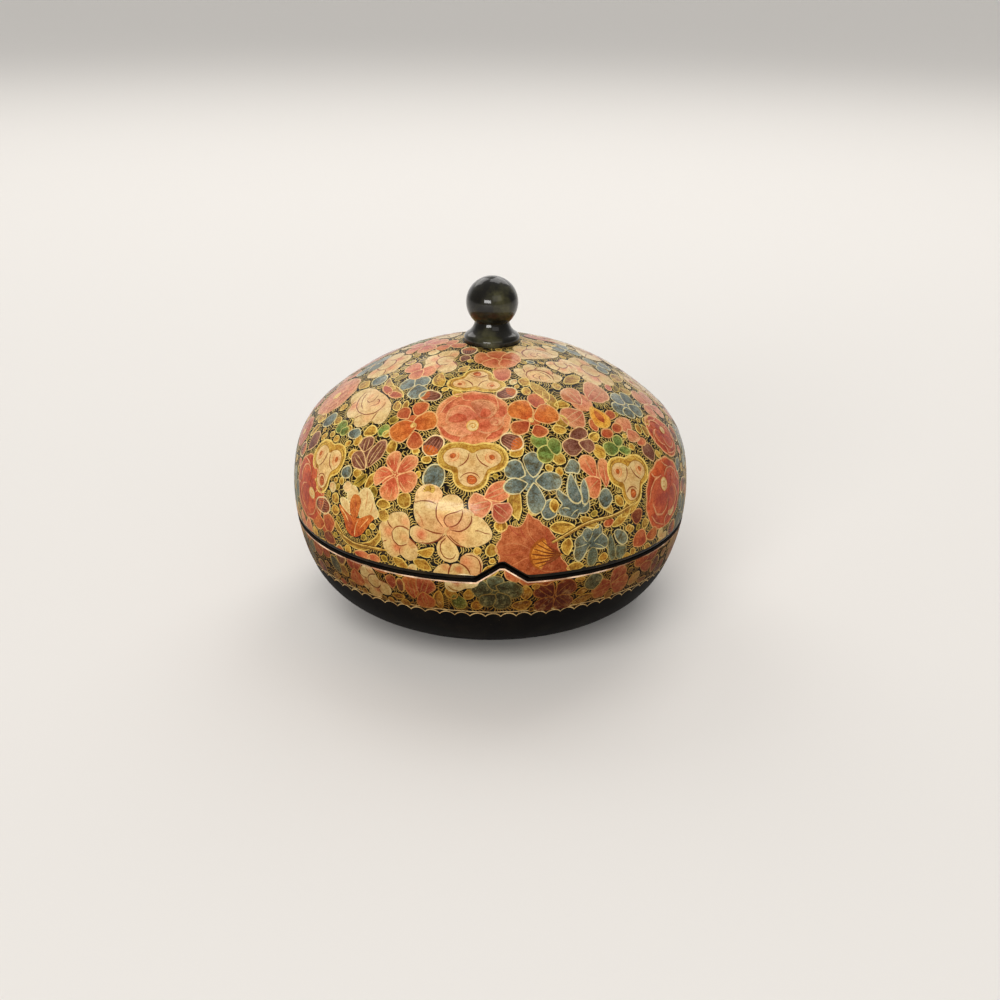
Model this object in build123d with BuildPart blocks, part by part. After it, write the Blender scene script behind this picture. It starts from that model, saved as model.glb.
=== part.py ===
# Lidded papier-mache bowl of the Kashmiri kind: a round bowl on a small pasteboard foot, a pasteboard
# collar glued inside its rim, a domed lid that drops over the collar, and a turned wooden knob.
# Millimetres. +Z is up, the origin is the centre of the foot's underside, and the index tongue that
# sets the lid's one right position is at the front, toward -Y.
import os
from math import asin, atan2, cos, degrees, hypot, radians, sin, sqrt

from build123d import *

# driving sizes
bodyRadius = 63.5          # 5 in across at the widest
widestHeight = 42.0
wall = 3.4                 # layered paper, ground and lacquer
seamHeight = 33.5          # where the moulded shell was cut into bowl and lid

# the outside is one smooth section of tangent arcs, because both halves leave one mould
sideR = 60.0               # flank, above and below the widest line
shoulderR = 27.0           # from the flank into the lid's crown
turnR = 26.0               # from the flank into the bowl's underside
shoulderStart, crownStart = 8.5, 46.5      # degrees above the widest line
turnStart, underStart = 22.0, 55.0         # degrees below it

footRadius = 30.0
footHeight = 1.8
footEase = 0.5

rebateRadius = 58.8        # seat in the bowl's wall that the collar is glued into
collarRadius = 58.75
collarThick = 2.0
collarLow = 24.0
collarHigh = 40.0
collarEase = 0.8

tongueWidth = 15.0         # index tongue on the bowl's rim, a low blunt chevron
tongueRise = 5.2
tongueBlunt = 1.6
tongueRoot = 1.2
notchGap = 0.35            # what the lid's notch leaves around the tongue
rimEase = 0.5              # worn, lacquer-filled edges each side of the seam
lidEase = 0.8

tenonRadius = 2.95
tenonBore = 3.0
ballRadius = 8.2
waistRadius = 5.45
waistRise = 6.4            # above the knob's seat
skirtRadius = 8.8
skirtEdge = 1.1            # upright edge of the skirt
skirtBreak = (7.9, 2.7)    # radius and rise where the skirt's round shoulder turns hollow
patchRadius = 9.0          # paper disc over the tenon's end inside the lid
patchThick = 0.6


def onArc(centre, radius, angle):
    """Point on an arc of the section, its angle measured from the horizontal."""
    return (centre[0] + radius * cos(radians(angle)), centre[1] + radius * sin(radians(angle)))


def sectionArc(centre, radius, start, end):
    """Arc of the section between two angles."""
    return ThreePointArc(*[onArc(centre, radius, a) for a in (start, (start + end) / 2, end)])


# arc centres of the section as (distance from the axis, height); the inner face shares them
sideC = (bodyRadius - sideR, widestHeight)
shoulderC = onArc(sideC, sideR - shoulderR, shoulderStart)
crownR = shoulderR + shoulderC[0] / cos(radians(crownStart))
crownC = (0.0, onArc(shoulderC, shoulderR - crownR, crownStart)[1])
turnC = onArc(sideC, sideR - turnR, -turnStart)
underR = (turnC[1] - turnR * sin(radians(underStart)) - footHeight) / (1 - sin(radians(underStart)))
underC = onArc(turnC, turnR - underR, -underStart)


def sideAngle(height, inset=0.0):
    """Angle on the flank's arc at a height, inset by a wall."""
    return degrees(asin((height - widestHeight) / (sideR - inset)))


def sideRadius(height, inset=0.0):
    """Distance from the axis to the flank at a height."""
    return onArc(sideC, sideR - inset, sideAngle(height, inset))[0]


def crownHeight(radius, inset=0.0):
    """Height of the crown at a distance from the axis."""
    return crownC[1] + sqrt((crownR - inset) ** 2 - radius ** 2)


def drawTongue(gap, spread):
    """Outline of all that lies below the tongue's edge, with the edge moved out by a gap."""
    half = tongueWidth / 2
    lean = atan2(tongueRise, half)
    root = half + gap / sin(lean)
    tip = seamHeight + tongueRise + gap / cos(lean)
    face = Polygon((-spread, seamHeight - 1), (spread, seamHeight - 1), (spread, seamHeight), (root, seamHeight),
                   (0, tip), (-root, seamHeight), (-spread, seamHeight), align=None)
    fillet(face.vertices().sort_by(Axis.Y)[-1:], tongueBlunt + gap)
    fillet([v for v in face.vertices() if abs(abs(v.X) - root) < 0.01], tongueRoot)


def easeSeam(part, radius):
    """Round the outer edges that run along the seam."""
    top = seamHeight + tongueRise + 1
    edges = part.edges().filter_by_position(Axis.Z, seamHeight - 0.01, top)
    mids = [(e, e.position_at(0.5)) for e in edges]
    fillet([e for e, p in mids if abs(hypot(p.X, p.Y) - sideRadius(p.Z)) < 0.05], radius)


# the tongue: a short length of the wall carried up past the rim and trimmed to the chevron
with BuildPart() as tongue:
    with BuildSketch(Plane.XZ):
        with BuildLine():
            reach = seamHeight + tongueRise + 1
            flank = sectionArc(sideC, sideR, sideAngle(seamHeight - 1), sideAngle(reach))
            Polyline(flank @ 1, (rebateRadius, reach), (rebateRadius, seamHeight - 1), flank @ 0)
        make_face()
    revolve(axis=Axis.Z)
    with BuildSketch(Plane.XZ):
        drawTongue(0, 12)
    extrude(amount=80, mode=Mode.INTERSECT)

# the bowl: one shell of even thickness, thinned above the ledge where the collar is seated
with BuildPart() as bowl:
    with BuildSketch(Plane.XZ):
        with BuildLine():
            floor = footHeight + wall
            ledge = sideAngle(collarLow, wall)
            under = sectionArc(underC, underR, -90, -underStart)
            turn = sectionArc(turnC, turnR, -underStart, -turnStart)
            flank = sectionArc(sideC, sideR, -turnStart, sideAngle(seamHeight))
            innerFlank = sectionArc(sideC, sideR - wall, ledge, -turnStart)
            innerTurn = sectionArc(turnC, turnR - wall, -turnStart, -underStart)
            innerUnder = sectionArc(underC, underR - wall, -underStart, -90)
            Polyline(flank @ 1, (rebateRadius, seamHeight), (rebateRadius, collarLow), innerFlank @ 0)
            Polyline(innerUnder @ 1, (0, floor), (0, footHeight), under @ 0)
        make_face()
    revolve(axis=Axis.Z)
    add(tongue.part)
    easeSeam(bowl.part, rimEase)
bowl.part.label = "bowl"

# the foot: a pasteboard disc that keeps the round underside off the table
with BuildPart() as foot:
    Cylinder(footRadius, footHeight, align=(Align.CENTER, Align.CENTER, Align.MIN))
    fillet(foot.edges().group_by(Axis.Z)[0], footEase)
foot.part.label = "foot"

# the collar: a pasteboard hoop glued against the bowl's wall, standing proud to locate the lid
with BuildPart() as collar:
    with BuildSketch(Plane.XY.offset(collarLow)):
        Circle(collarRadius)
        Circle(collarRadius - collarThick, mode=Mode.SUBTRACT)
    extrude(amount=collarHigh - collarLow)
    fillet(collar.edges().group_by(Axis.Z)[-1], collarEase)
collar.part.label = "collar"

# the lid: the rest of the shell, notched to drop over the tongue and bored for the knob's tenon
with BuildPart() as lid:
    with BuildSketch(Plane.XZ):
        with BuildLine():
            flank = sectionArc(sideC, sideR, sideAngle(seamHeight), shoulderStart)
            shoulder = sectionArc(shoulderC, shoulderR, shoulderStart, crownStart)
            crown = sectionArc(crownC, crownR, crownStart, 90)
            innerCrown = sectionArc(crownC, crownR - wall, 90, crownStart)
            innerShoulder = sectionArc(shoulderC, shoulderR - wall, crownStart, shoulderStart)
            innerFlank = sectionArc(sideC, sideR - wall, shoulderStart, sideAngle(seamHeight, wall))
            Line(crown @ 1, innerCrown @ 0)
            Line(innerFlank @ 1, flank @ 0)
        make_face()
    revolve(axis=Axis.Z)
    with BuildSketch(Plane.XZ):
        drawTongue(notchGap, 12)
    extrude(amount=80, mode=Mode.SUBTRACT)
    with BuildSketch(Plane.XY.offset(crownHeight(0) + 1)):
        Circle(tenonBore)
    extrude(amount=-wall - 2, mode=Mode.SUBTRACT)
    easeSeam(lid.part, lidEase)
lid.part.label = "lid"

# the knob: turned in one piece, a tenon through the crown, a hollow skirt seated on it and a ball
with BuildPart() as knob:
    with BuildSketch(Plane.XZ):
        with BuildLine():
            seat = crownHeight(skirtRadius)
            tenonEnd = crownHeight(0, wall) + 0.1
            waist = (waistRadius, seat + waistRise)
            ballC = (0, waist[1] + sqrt(ballRadius ** 2 - waistRadius ** 2))
            Polyline((0, tenonEnd), (tenonRadius, tenonEnd), (tenonRadius, crownHeight(tenonRadius)))
            ThreePointArc((tenonRadius, crownHeight(tenonRadius)), (6, crownHeight(6)), (skirtRadius, seat))
            edge = Line((skirtRadius, seat), (skirtRadius, seat + skirtEdge))
            brow = TangentArc(edge @ 1, (skirtBreak[0], seat + skirtBreak[1]), tangent=(0, 1))
            TangentArc(brow @ 1, waist, tangent=brow % 1)
            ThreePointArc(waist, (ballRadius, ballC[1]), (0, ballC[1] + ballRadius))
            Line((0, ballC[1] + ballRadius), (0, tenonEnd))
        make_face()
    revolve(axis=Axis.Z)
knob.part.label = "knob"

# the patch: paper pasted under the crown to close the tenon's hole
with BuildPart() as patch:
    with BuildSketch(Plane.XZ):
        with BuildLine():
            top = [(r, crownHeight(r, wall)) for r in (0, patchRadius / 2, patchRadius)]
            low = [(r, crownHeight(r, wall + patchThick)) for r in (patchRadius, patchRadius / 2, 0)]
            ThreePointArc(*top)
            Line(top[-1], low[0])
            ThreePointArc(*low)
            Line(low[-1], top[0])
        make_face()
    revolve(axis=Axis.Z)
patch.part.label = "patch"

os.makedirs("parts", exist_ok=True)
for piece in (bowl, foot, collar, lid, knob, patch):
    export_step(piece.part, f"parts/{piece.part.label}.step")
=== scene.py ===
import math

import bpy
import numpy as np
from mathutils import Matrix, Vector
from mathutils.geometry import delaunay_2d_cdt


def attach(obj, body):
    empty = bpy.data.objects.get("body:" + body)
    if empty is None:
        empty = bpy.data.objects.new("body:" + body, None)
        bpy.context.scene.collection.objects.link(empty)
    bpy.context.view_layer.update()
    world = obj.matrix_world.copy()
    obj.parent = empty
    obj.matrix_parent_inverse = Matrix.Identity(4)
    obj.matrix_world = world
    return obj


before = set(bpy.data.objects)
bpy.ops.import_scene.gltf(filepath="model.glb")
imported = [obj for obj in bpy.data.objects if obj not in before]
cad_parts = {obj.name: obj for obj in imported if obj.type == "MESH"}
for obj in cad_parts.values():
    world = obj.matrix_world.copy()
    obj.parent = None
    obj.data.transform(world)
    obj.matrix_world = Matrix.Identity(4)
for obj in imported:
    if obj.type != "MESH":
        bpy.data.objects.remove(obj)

mm = 0.001
tau = 2 * math.pi
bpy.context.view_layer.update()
dice = np.random.default_rng(27)        # every random choice in the painting comes from here

# camera and lamps, in mm and degrees; a turn is counted from the front (-Y) towards +X
shot = dict(lens=54.07, distance=460, height=213, aside=3.2, turn=-3.7, down=21.28, roll=0.7, clip=(0.01, 50))
lamps = dict(
    sky=dict(turn=-22, lift=48, away=1000, strength=1.37, colour=(1.0, 0.975, 0.94)), skySpread=45, aim=45,
    # name, turn, height angle, distance, wide, high, watts, colour
    soft=[
        ("ceiling", 160, 62, 1500, 700, 500, 2.6, (1.0, 0.98, 0.96)),
        ("wallLeft", -152, 40, 1700, 900, 800, 4.6, (1.0, 0.97, 0.94)),
        ("window", -24, 15.5, 1700, 860, 340, 12.7, (1.0, 0.98, 0.97)),
        ("wallRight", 152, 40, 1700, 900, 800, 4.2, (1.0, 0.97, 0.94)),
        ("front", 20, 30, 1600, 1100, 700, 2.2, (1.0, 0.97, 0.94)),
    ],
)


def addObject(name, data):
    thing = bpy.data.objects.new(name, data)
    bpy.context.scene.collection.objects.link(thing)
    return thing


def turnedPoint(turn, away, height):
    angle = math.radians(turn)
    return Vector((math.sin(angle) * away, -math.cos(angle) * away, height)) * mm


def setCamera():
    data = bpy.data.cameras.new("camera")
    data.lens = shot["lens"]
    data.clip_start, data.clip_end = shot["clip"]
    camera = addObject("camera", data)
    heading = Matrix.Rotation(math.radians(shot["turn"]), 4, "Z")
    pitch = Matrix.Rotation(math.radians(90 - shot["down"]), 4, "X")
    roll = Matrix.Rotation(math.radians(shot["roll"]), 4, "Z")
    spot = turnedPoint(shot["turn"], shot["distance"], shot["height"])
    spot += heading @ Vector((shot["aside"] * mm, 0, 0))
    camera.matrix_world = Matrix.Translation(spot) @ heading @ pitch @ roll
    bpy.context.scene.camera = camera


def addLamp(name, kind, turn, lift, away, strength, colour, aim=0):
    data = bpy.data.lights.new(name, kind)
    data.energy = strength
    data.color = colour
    lamp = addObject(name, data)
    lift = math.radians(lift)
    lamp.location = turnedPoint(turn, away * math.cos(lift), away * math.sin(lift))
    lamp.rotation_euler = (Vector((0, 0, aim * mm)) - lamp.location).to_track_quat("-Z", "Y").to_euler()
    return lamp


def setLamps():
    sky = addLamp("sky", "SUN", **lamps["sky"])
    sky.data.angle = math.radians(lamps["skySpread"])
    sky.visible_glossy = False        # too broad to show as a disc in the varnish
    for name, turn, lift, away, wide, high, watts, colour in lamps["soft"]:
        lamp = addLamp(name, "AREA", turn, lift, away, watts, colour, lamps["aim"])
        lamp.data.shape = "RECTANGLE"
        lamp.data.size = wide * mm
        lamp.data.size_y = high * mm


class Wire:
    # a socket that can stand in a sum
    def __init__(self, shade, socket):
        self.shade = shade
        self.socket = socket

    def reckon(self, operation, *values):
        return self.shade.node("Math", dict(operation=operation), dict(enumerate(values)))

    def __add__(self, other):
        return self.reckon("ADD", self, other)

    def __rsub__(self, other):
        return self.reckon("SUBTRACT", other, self)

    def __mul__(self, other):
        return self.reckon("MULTIPLY", self, other)

    __radd__ = __add__
    __rmul__ = __mul__


class Shade:
    # the nodes of a material or of the world
    def __init__(self, owner):
        owner.use_nodes = True
        self.tree = owner.node_tree
        self.tree.nodes.clear()

    def node(self, kind, settings, sockets, out=0):
        made = self.tree.nodes.new("ShaderNode" + kind)
        for name, value in settings.items():
            setattr(made, name, value)
        for key, value in sockets.items():
            if isinstance(value, Wire):
                self.tree.links.new(value.socket, made.inputs[key])
            else:
                made.inputs[key].default_value = value
        return Wire(self, made.outputs[out]) if made.outputs else None

    def place(self, kind):
        return self.node("TexCoord", {}, {}, out=kind)

    def axis(self, place, name):
        return self.node("SeparateXYZ", {}, {0: place}, out=name)

    def blend(self, kind, factor, a, b):
        return self.node("Mix", dict(data_type="RGBA", blend_type=kind), {0: factor, 6: a, 7: b}, out=2)

    def noise(self, place, scale, detail=3.0, roughness=0.55):
        sockets = {"Vector": place, "Scale": scale, "Detail": detail, "Roughness": roughness}
        return self.node("TexNoise", {}, sockets)

    def ramp(self, value, low, high):
        return self.node("MapRange", dict(interpolation_type="SMOOTHSTEP"), {0: value, 1: low, 2: high})


def linear(colour):
    # 0-255 as seen on a screen, to the shader's own scale
    c = np.asarray(colour, float) / 255
    return np.where(c < 0.04045, c / 12.92, ((c + 0.055) / 1.055) ** 2.4)


def rgba(colour):
    return (*[float(c) for c in linear(colour)], 1.0)


# the world brightens upwards and backwards, with a pale wall behind the box
worldLook = dict(colour=(1.0, 0.98, 0.96, 1.0), low=0.16, high=0.30, lean=0.35, rise=(0.0, 0.9),
                 wall=0.8, wallBack=(0.35, 0.95), wallTop=(0.28, 0.6))
floorLook = dict(colour=(0.80, 0.78, 0.75, 1.0), cloud=(0.7, 0.68, 0.65, 1.0), cloudScale=3.0, clouds=0.06,
                 roughness=0.75, size=14.0, drop=0.02)


def setWorld():
    world = bpy.data.worlds.new("world")
    bpy.context.scene.world = world
    shade = Shade(world)
    place = shade.place("Generated")
    height = shade.axis(place, "Z")
    behind = shade.axis(place, "Y")
    light = shade.ramp(height + worldLook["lean"] * behind, *worldLook["rise"])
    strength = worldLook["low"] + (worldLook["high"] - worldLook["low"]) * light
    wall = shade.ramp(behind, *worldLook["wallBack"]) * (1 - shade.ramp(height, *worldLook["wallTop"]))
    strength = strength + worldLook["wall"] * wall
    glow = shade.node("Background", {}, {"Color": worldLook["colour"], "Strength": strength})
    shade.node("OutputWorld", {}, {"Surface": glow})


def setFloor():
    half = floorLook["size"] / 2
    mesh = bpy.data.meshes.new("floor")
    corners = [(-half, -half, 0), (half, -half, 0), (half, half, 0), (-half, half, 0)]
    mesh.from_pydata(corners, [], [(0, 1, 2, 3)])
    floor = addObject("floor", mesh)
    material = bpy.data.materials.new("paleFloor")
    shade = Shade(material)
    tone = shade.noise(shade.place("Object"), floorLook["cloudScale"])
    colour = shade.blend("MIX", tone * floorLook["clouds"], floorLook["colour"], floorLook["cloud"])
    skin = shade.node("BsdfPrincipled", {}, {"Base Color": colour, "Roughness": floorLook["roughness"]})
    shade.node("OutputMaterial", {}, {"Surface": skin})
    mesh.materials.append(material)
    floor.location.z = -floorLook["drop"] * mm


# finishes: heights in metres, colours as seen on a screen
varnish = dict(coat=0.7, coatRoughness=0.09, swell=0.00022, swellScale=38, ripple=0.000035, rippleScale=260,
               smear=0.12, smearScale=70, gloss=1.29, specular=0.08)
lacquers = {
    "blackLacquer": dict(light=(40, 30, 14), dark=(12, 9, 5), patch=160, roughness=0.5, coat=0.4),
    # the bowl and foot: plain black lacquer, made darker still as painted shade of the underside
    "shadedBowlLacquer": dict(light=(14, 9, 4), dark=(4, 2, 1), patch=160, roughness=0.7, coat=0.02),
    "knobLacquer": dict(light=(72, 70, 46), dark=(17, 15, 10), patch=120, roughness=0.34, coat=1.4,
                        gloss=1.42),
    "pasteboard": dict(light=(30, 25, 20), dark=(12, 10, 8), patch=160, roughness=0.6, coat=0.35),
}
dust = dict(scale=1900, span=(0.66, 0.8), share=0.35, height=0.00001, tint=(92, 78, 52), cloud=(0.42, 0.75))
gouacheLook = dict(
    broadScale=520, speckScale=1.7, roughness=0.4, fineRoughness=0.2, grain=0.000012,
    dullBelow=(0.036, 0.064), dullest=0.2,        # hands have rubbed the varnish dull low down
    # blend, mask, low, high, share, tint: where the brush left the colour thick or thin
    streaks=[
        ("MULTIPLY", "broad", 0.42, 0.68, 0.9, (204, 172, 128)),
        ("SCREEN", "notBroad", 0.52, 0.7, 0.8, (88, 74, 44)),
        ("MULTIPLY", "fine", 0.46, 0.66, 1.0, (196, 166, 126)),
        ("MIX", "speck", 0.64, 0.74, 0.7, (84, 56, 28)),
        ("SCREEN", "notFine", 0.56, 0.7, 0.7, (102, 90, 60)),
    ],
)


def varnished(shade, place, colour, roughness, grain, coat, gloss=varnish["gloss"]):
    # clear varnish over the colour: it swells gently with the paper below and carries the brush marks
    swell = shade.noise(place, varnish["swellScale"], 2.0)
    ripple = shade.noise(place, varnish["rippleScale"], 2.0)
    height = swell * varnish["swell"] + ripple * varnish["ripple"] + grain
    normal = shade.node("Bump", {}, {"Strength": 1.0, "Distance": 1.0, "Height": height})
    smear = shade.noise(place, varnish["smearScale"])
    skin = shade.node("BsdfPrincipled", {}, {
        "Base Color": colour, "Roughness": roughness + varnish["smear"] * smear, "Normal": normal,
        "Coat Weight": coat * varnish["coat"], "Coat Roughness": varnish["coatRoughness"],
        "Coat IOR": gloss, "Specular IOR Level": varnish["specular"],
    })
    shade.node("OutputMaterial", {}, {"Surface": skin})


def lacquer(name, light, dark, patch, roughness, coat, gloss=varnish["gloss"]):
    material = bpy.data.materials.new(name)
    shade = Shade(material)
    place = shade.place("Object")
    cloud = shade.ramp(shade.noise(place, patch, 5.0), *dust["cloud"])
    speck = shade.ramp(shade.noise(place, dust["scale"], 2.0), *dust["span"])
    colour = shade.blend("MIX", cloud, rgba(dark), rgba(light))
    colour = shade.blend("MIX", speck * dust["share"], colour, rgba(dust["tint"]))
    varnished(shade, place, colour, roughness, speck * dust["height"], coat, gloss)
    return material


def gouache(name, mottle, grainScale, coat):
    # the colour lies in the mesh, laid by the brush; here it gets its streaks and worn thin spots
    material = bpy.data.materials.new(name)
    shade = Shade(material)
    place = shade.place("Object")
    look = gouacheLook
    broad = shade.noise(place, look["broadScale"], 3.0, 0.6)
    fine = shade.noise(place, grainScale, 3.0, 0.7)
    speck = shade.noise(place, grainScale * look["speckScale"], 2.0, 0.6)
    masks = dict(broad=broad, fine=fine, speck=speck, notBroad=1 - broad, notFine=1 - fine)
    colour = shade.node("VertexColor", dict(layer_name="paint"), {})
    for kind, mask, low, high, share, tint in look["streaks"]:
        colour = shade.blend(kind, shade.ramp(masks[mask], low, high) * (mottle * share), colour, rgba(tint))
    kept = look["dullest"] + (1 - look["dullest"]) * shade.ramp(shade.axis(place, "Z"), *look["dullBelow"])
    varnished(shade, place, colour, look["roughness"] + look["fineRoughness"] * fine, fine * look["grain"],
              coat * kept)
    return material


# the moulded section, as the solids have it, in millimetres and degrees
section = dict(
    widest=63.5, widestHeight=42.0, sideR=60.0, shoulderR=27.0, turnR=26.0,
    shoulderStart=8.5, crownStart=46.5, turnStart=22.0, underStart=55.0, footHeight=1.8,
    seamHeight=33.5, seamRadius=62.9, tongueHalf=7.5, tongueRise=5.2, tongueBlunt=0.5, notchGap=0.35,
)


def sectionArcs():
    # each arc as (centre, radius, start angle, end angle), up and down from the widest line
    s = section
    sideR, shoulderR, turnR = s["sideR"], s["shoulderR"], s["turnR"]
    up1, up2 = math.radians(s["shoulderStart"]), math.radians(s["crownStart"])
    down1, down2 = math.radians(s["turnStart"]), math.radians(s["underStart"])

    def along(centre, radius, angle):
        return (centre[0] + radius * math.cos(angle), centre[1] + radius * math.sin(angle))

    sideC = (s["widest"] - sideR, s["widestHeight"])
    shoulderC = along(sideC, sideR - shoulderR, up1)
    crownR = shoulderR + shoulderC[0] / math.cos(up2)
    crownC = (0.0, along(shoulderC, shoulderR - crownR, up2)[1])
    turnC = along(sideC, sideR - turnR, -down1)
    underR = (turnC[1] - turnR * math.sin(down2) - s["footHeight"]) / (1 - math.sin(down2))
    underC = along(turnC, turnR - underR, -down2)
    upward = [(sideC, sideR, 0.0, up1), (shoulderC, shoulderR, up1, up2), (crownC, crownR, up2, math.pi / 2)]
    downward = [(sideC, sideR, 0.0, -down1), (turnC, turnR, -down1, -down2),
                (underC, underR, -down2, -math.pi / 2)]
    return upward, downward


def sampleSection(step=0.02):
    # rows of rise (arc length from the widest line, up positive), radius, height and slope
    rows = []
    for arcs, sign in zip(sectionArcs(), (1, -1)):
        rise = 0.0
        for (centreR, centreZ), radius, start, end in arcs:
            length = radius * abs(end - start)
            share = np.linspace(0, 1, max(2, int(length / step)))
            angle = start + (end - start) * share
            rows.append(np.stack([sign * (rise + length * share), centreR + radius * np.cos(angle),
                                  centreZ + radius * np.sin(angle), angle], 1))
            rise += length
    rows = np.concatenate(rows)
    return rows[np.argsort(rows[:, 0], kind="stable")]


profile = sampleSection()
seenFrom = np.arctan2(profile[:, 2] - section["widestHeight"], profile[:, 1])
# lidLow and rimLow leave the black lacquer bare along the seam: the black-painted edge, widened as painted
# shade of the gap
edges = dict(lidLow=0.95, rimLow=1.0, knob=9.1, band=-21.2, over=0.3, dome=40)        # where the paint ends
crown = profile[profile[:, 0] > edges["dome"]]
knobRise = float(np.interp(-edges["knob"], -crown[:, 1], crown[:, 0]))


def sectionAt(rise):
    # radius, height and slope
    return [np.interp(rise, profile[:, 0], profile[:, k]) for k in (1, 2, 3)]


def onShell(turn, rise, lift=0.0):
    # points and normals on the outside of the box, in millimetres
    radius, height, slope = sectionAt(rise)
    radius = radius + lift * np.cos(slope)
    height = height + lift * np.sin(slope)
    sine, cosine = np.sin(turn), np.cos(turn)
    points = np.stack([radius * sine, -radius * cosine, height], -1)
    return points, np.stack([np.cos(slope) * sine, -np.cos(slope) * cosine, np.sin(slope)], -1)


def seamRise(turn, gap):
    # the rim line at each turn, with the tongue's chevron, moved up by a gap
    across = section["seamRadius"] * np.sin(turn)
    chevron = section["tongueRise"] * (1 - np.abs(across) / section["tongueHalf"]).clip(0, None)
    chevron = np.minimum(chevron, section["tongueRise"] - section["tongueBlunt"])
    height = section["seamHeight"] + np.where(np.cos(turn) > 0, chevron, 0.0) + gap
    return section["sideR"] * np.arcsin((height - section["widestHeight"]) / section["sideR"])


def spread(anchor, flat):
    # flat points in millimetres about an anchor (turn, rise), onto the shell as turn and rise
    turn0, rise0 = math.radians(anchor[0]), anchor[1]
    point, normal = onShell(np.array(turn0), np.array(rise0))
    east = np.array([math.cos(turn0), math.sin(turn0), 0.0])
    north = np.cross(normal, east)
    eye = np.array([0, 0, section["widestHeight"]])
    ray = point + flat[:, :1] * east + flat[:, 1:2] * north - eye
    angle = np.arctan2(ray[:, 2], np.hypot(ray[:, 0], ray[:, 1]))
    return np.arctan2(ray[:, 0], -ray[:, 1]), np.interp(angle, seenFrom, profile[:, 0])


# where paint already lies: a map of small cells, whose rows use as many columns as their ring needs
cell = 0.35
rowLow = -24.0
rowCount = int((profile[-1, 0] - rowLow) / cell) + 2
columnsOf = (tau * sectionAt(rowLow + cell * np.arange(rowCount))[0] / cell).astype(int) + 8
takenMap = np.zeros((rowCount, int(columnsOf.max())), np.uint8)


def cells(turn, rise):
    row = ((rise - rowLow) / cell).astype(int).clip(0, rowCount - 1)
    return row, ((turn / tau % 1.0) * columnsOf[row]).astype(int)


def mark(anchor, flat, value=1):
    takenMap[cells(*spread(anchor, flat))] = value


def takenShare(anchor, flat):
    turn, rise = spread(anchor, flat)
    outside = (rise < edges["band"] - edges["over"]) | (rise > knobRise)
    return float(((takenMap[cells(turn, rise)] > 0) | outside).mean())


# the paint itself, in thin layers; lengths in mm
brush = dict(
    layerStep=0.013, layerBase=0.05, tone=(0.88, 1.06), vein=0.28, hair=0.24, midrib=0.3,
    step=0.75, petalStep=1.05, patchStep=0.95, mapStep=0.3,
    bowStep=0.3, bowRounds=8, rimStep=0.25, rimRounds=5,        # how free lines and outlines are smoothed
    swell=0.22, swells=5, taper=(0.35, 0.12), fullest=1.5, thinnest=0.25,
)
# painted shade: the paint grows darker and browner towards the bottom, most on the bowl's band; all of it
# also takes the varnish's yellow
shadeAndYellowing = dict(
    rise=(-22, -16, -11, -9, -3, 12, 30), light=(0.14, 0.19, 0.26, 0.57, 0.71, 0.90, 1.0),
    power=(0.7, 0.93, 1.45), yellow=(1.0, 0.99, 0.88),        # for red, green and blue
)
heaps = {}
outlines = []        # (anchor, closed outline) for the comb strokes


class Heap:
    # all strokes of one family on one body
    def __init__(self):
        self.rows = []
        self.faces = []
        self.count = 0

    def put(self, points, normals, tints, faces):
        self.rows.append((points, normals, tints))
        self.faces.extend((faces + self.count).tolist())
        self.count += len(points)


def lay(anchor, flat, faces, tints, family, layer):
    turn, rise = spread(anchor, flat)
    tints = np.broadcast_to(tints, (len(flat), 3))
    for body in ("lid", "base"):
        if body == "lid":
            low = seamRise(turn, section["notchGap"] + edges["lidLow"])
            high = np.full_like(turn, knobRise)
        else:
            low = np.full_like(turn, edges["band"])
            high = seamRise(turn, -edges["rimLow"])
        kept = faces[((rise > low) & (rise < high))[faces].any(1)]
        if not len(kept):
            continue
        used, packed = np.unique(kept, return_inverse=True)
        held = np.clip(rise[used], low[used], high[used])
        paintedShade = np.interp(held, shadeAndYellowing["rise"], shadeAndYellowing["light"])[:, None]        # painted shade: darker and browner towards the bottom of the bowl
        points, normals = onShell(turn[used], held, brush["layerBase"] + layer * brush["layerStep"])
        seen = tints[used] * paintedShade ** shadeAndYellowing["power"] * shadeAndYellowing["yellow"]
        heaps.setdefault((family, body), Heap()).put(points, normals, seen, packed.reshape(kept.shape))


def gridFaces(rows, columns):
    a = (np.arange(rows - 1)[:, None] * columns + np.arange(columns - 1)).ravel()
    return np.stack([a, a + columns, a + columns + 1, a + 1], 1)


def fanFaces(count):
    # triangles from point 0 to the ring after it
    near = np.arange(count)
    return np.stack([0 * near, 1 + near, 1 + (near + 1) % count], 1)


def bandFaces(first, count):
    # squares between a ring of points and the next ring
    near = np.arange(count)
    ahead = (near + 1) % count
    return first + np.stack([near, near + count, ahead + count, ahead], 1)


def circle(count):
    phase = np.linspace(0, tau, count, endpoint=False)
    return np.stack([np.cos(phase), np.sin(phase)], 1)


def turned(flat, lean):
    angle = math.radians(lean)
    c, s = math.cos(angle), math.sin(angle)
    return flat @ np.array([[c, s], [-s, c]])


def sampled(line, marks, places):
    # a line whose points stand at marks, read at other places
    return np.stack([np.interp(places, marks, line[:, k]) for k in (0, 1)], 1)


def thinOut(line, step):
    # points of a line, evenly spaced
    along = np.concatenate([[0], np.cumsum(np.hypot(*np.diff(line, axis=0).T))])
    return sampled(line, along, np.linspace(0, along[-1], max(3, int(along[-1] / step) + 1)))


def smoothed(line, times):
    for _ in range(times):
        line[1:-1] = (line[:-2] + 2 * line[1:-1] + line[2:]) / 4
    return line


def bowed(points):
    # a soft open line through a few points
    return smoothed(thinOut(np.array(points, float), brush["bowStep"]), brush["bowRounds"])


def areaOf(rim):
    # twice the area, positive where the outline runs anticlockwise
    return float(np.sum(rim[:, 0] * np.roll(rim[:, 1], -1) - np.roll(rim[:, 0], -1) * rim[:, 1]))


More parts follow.
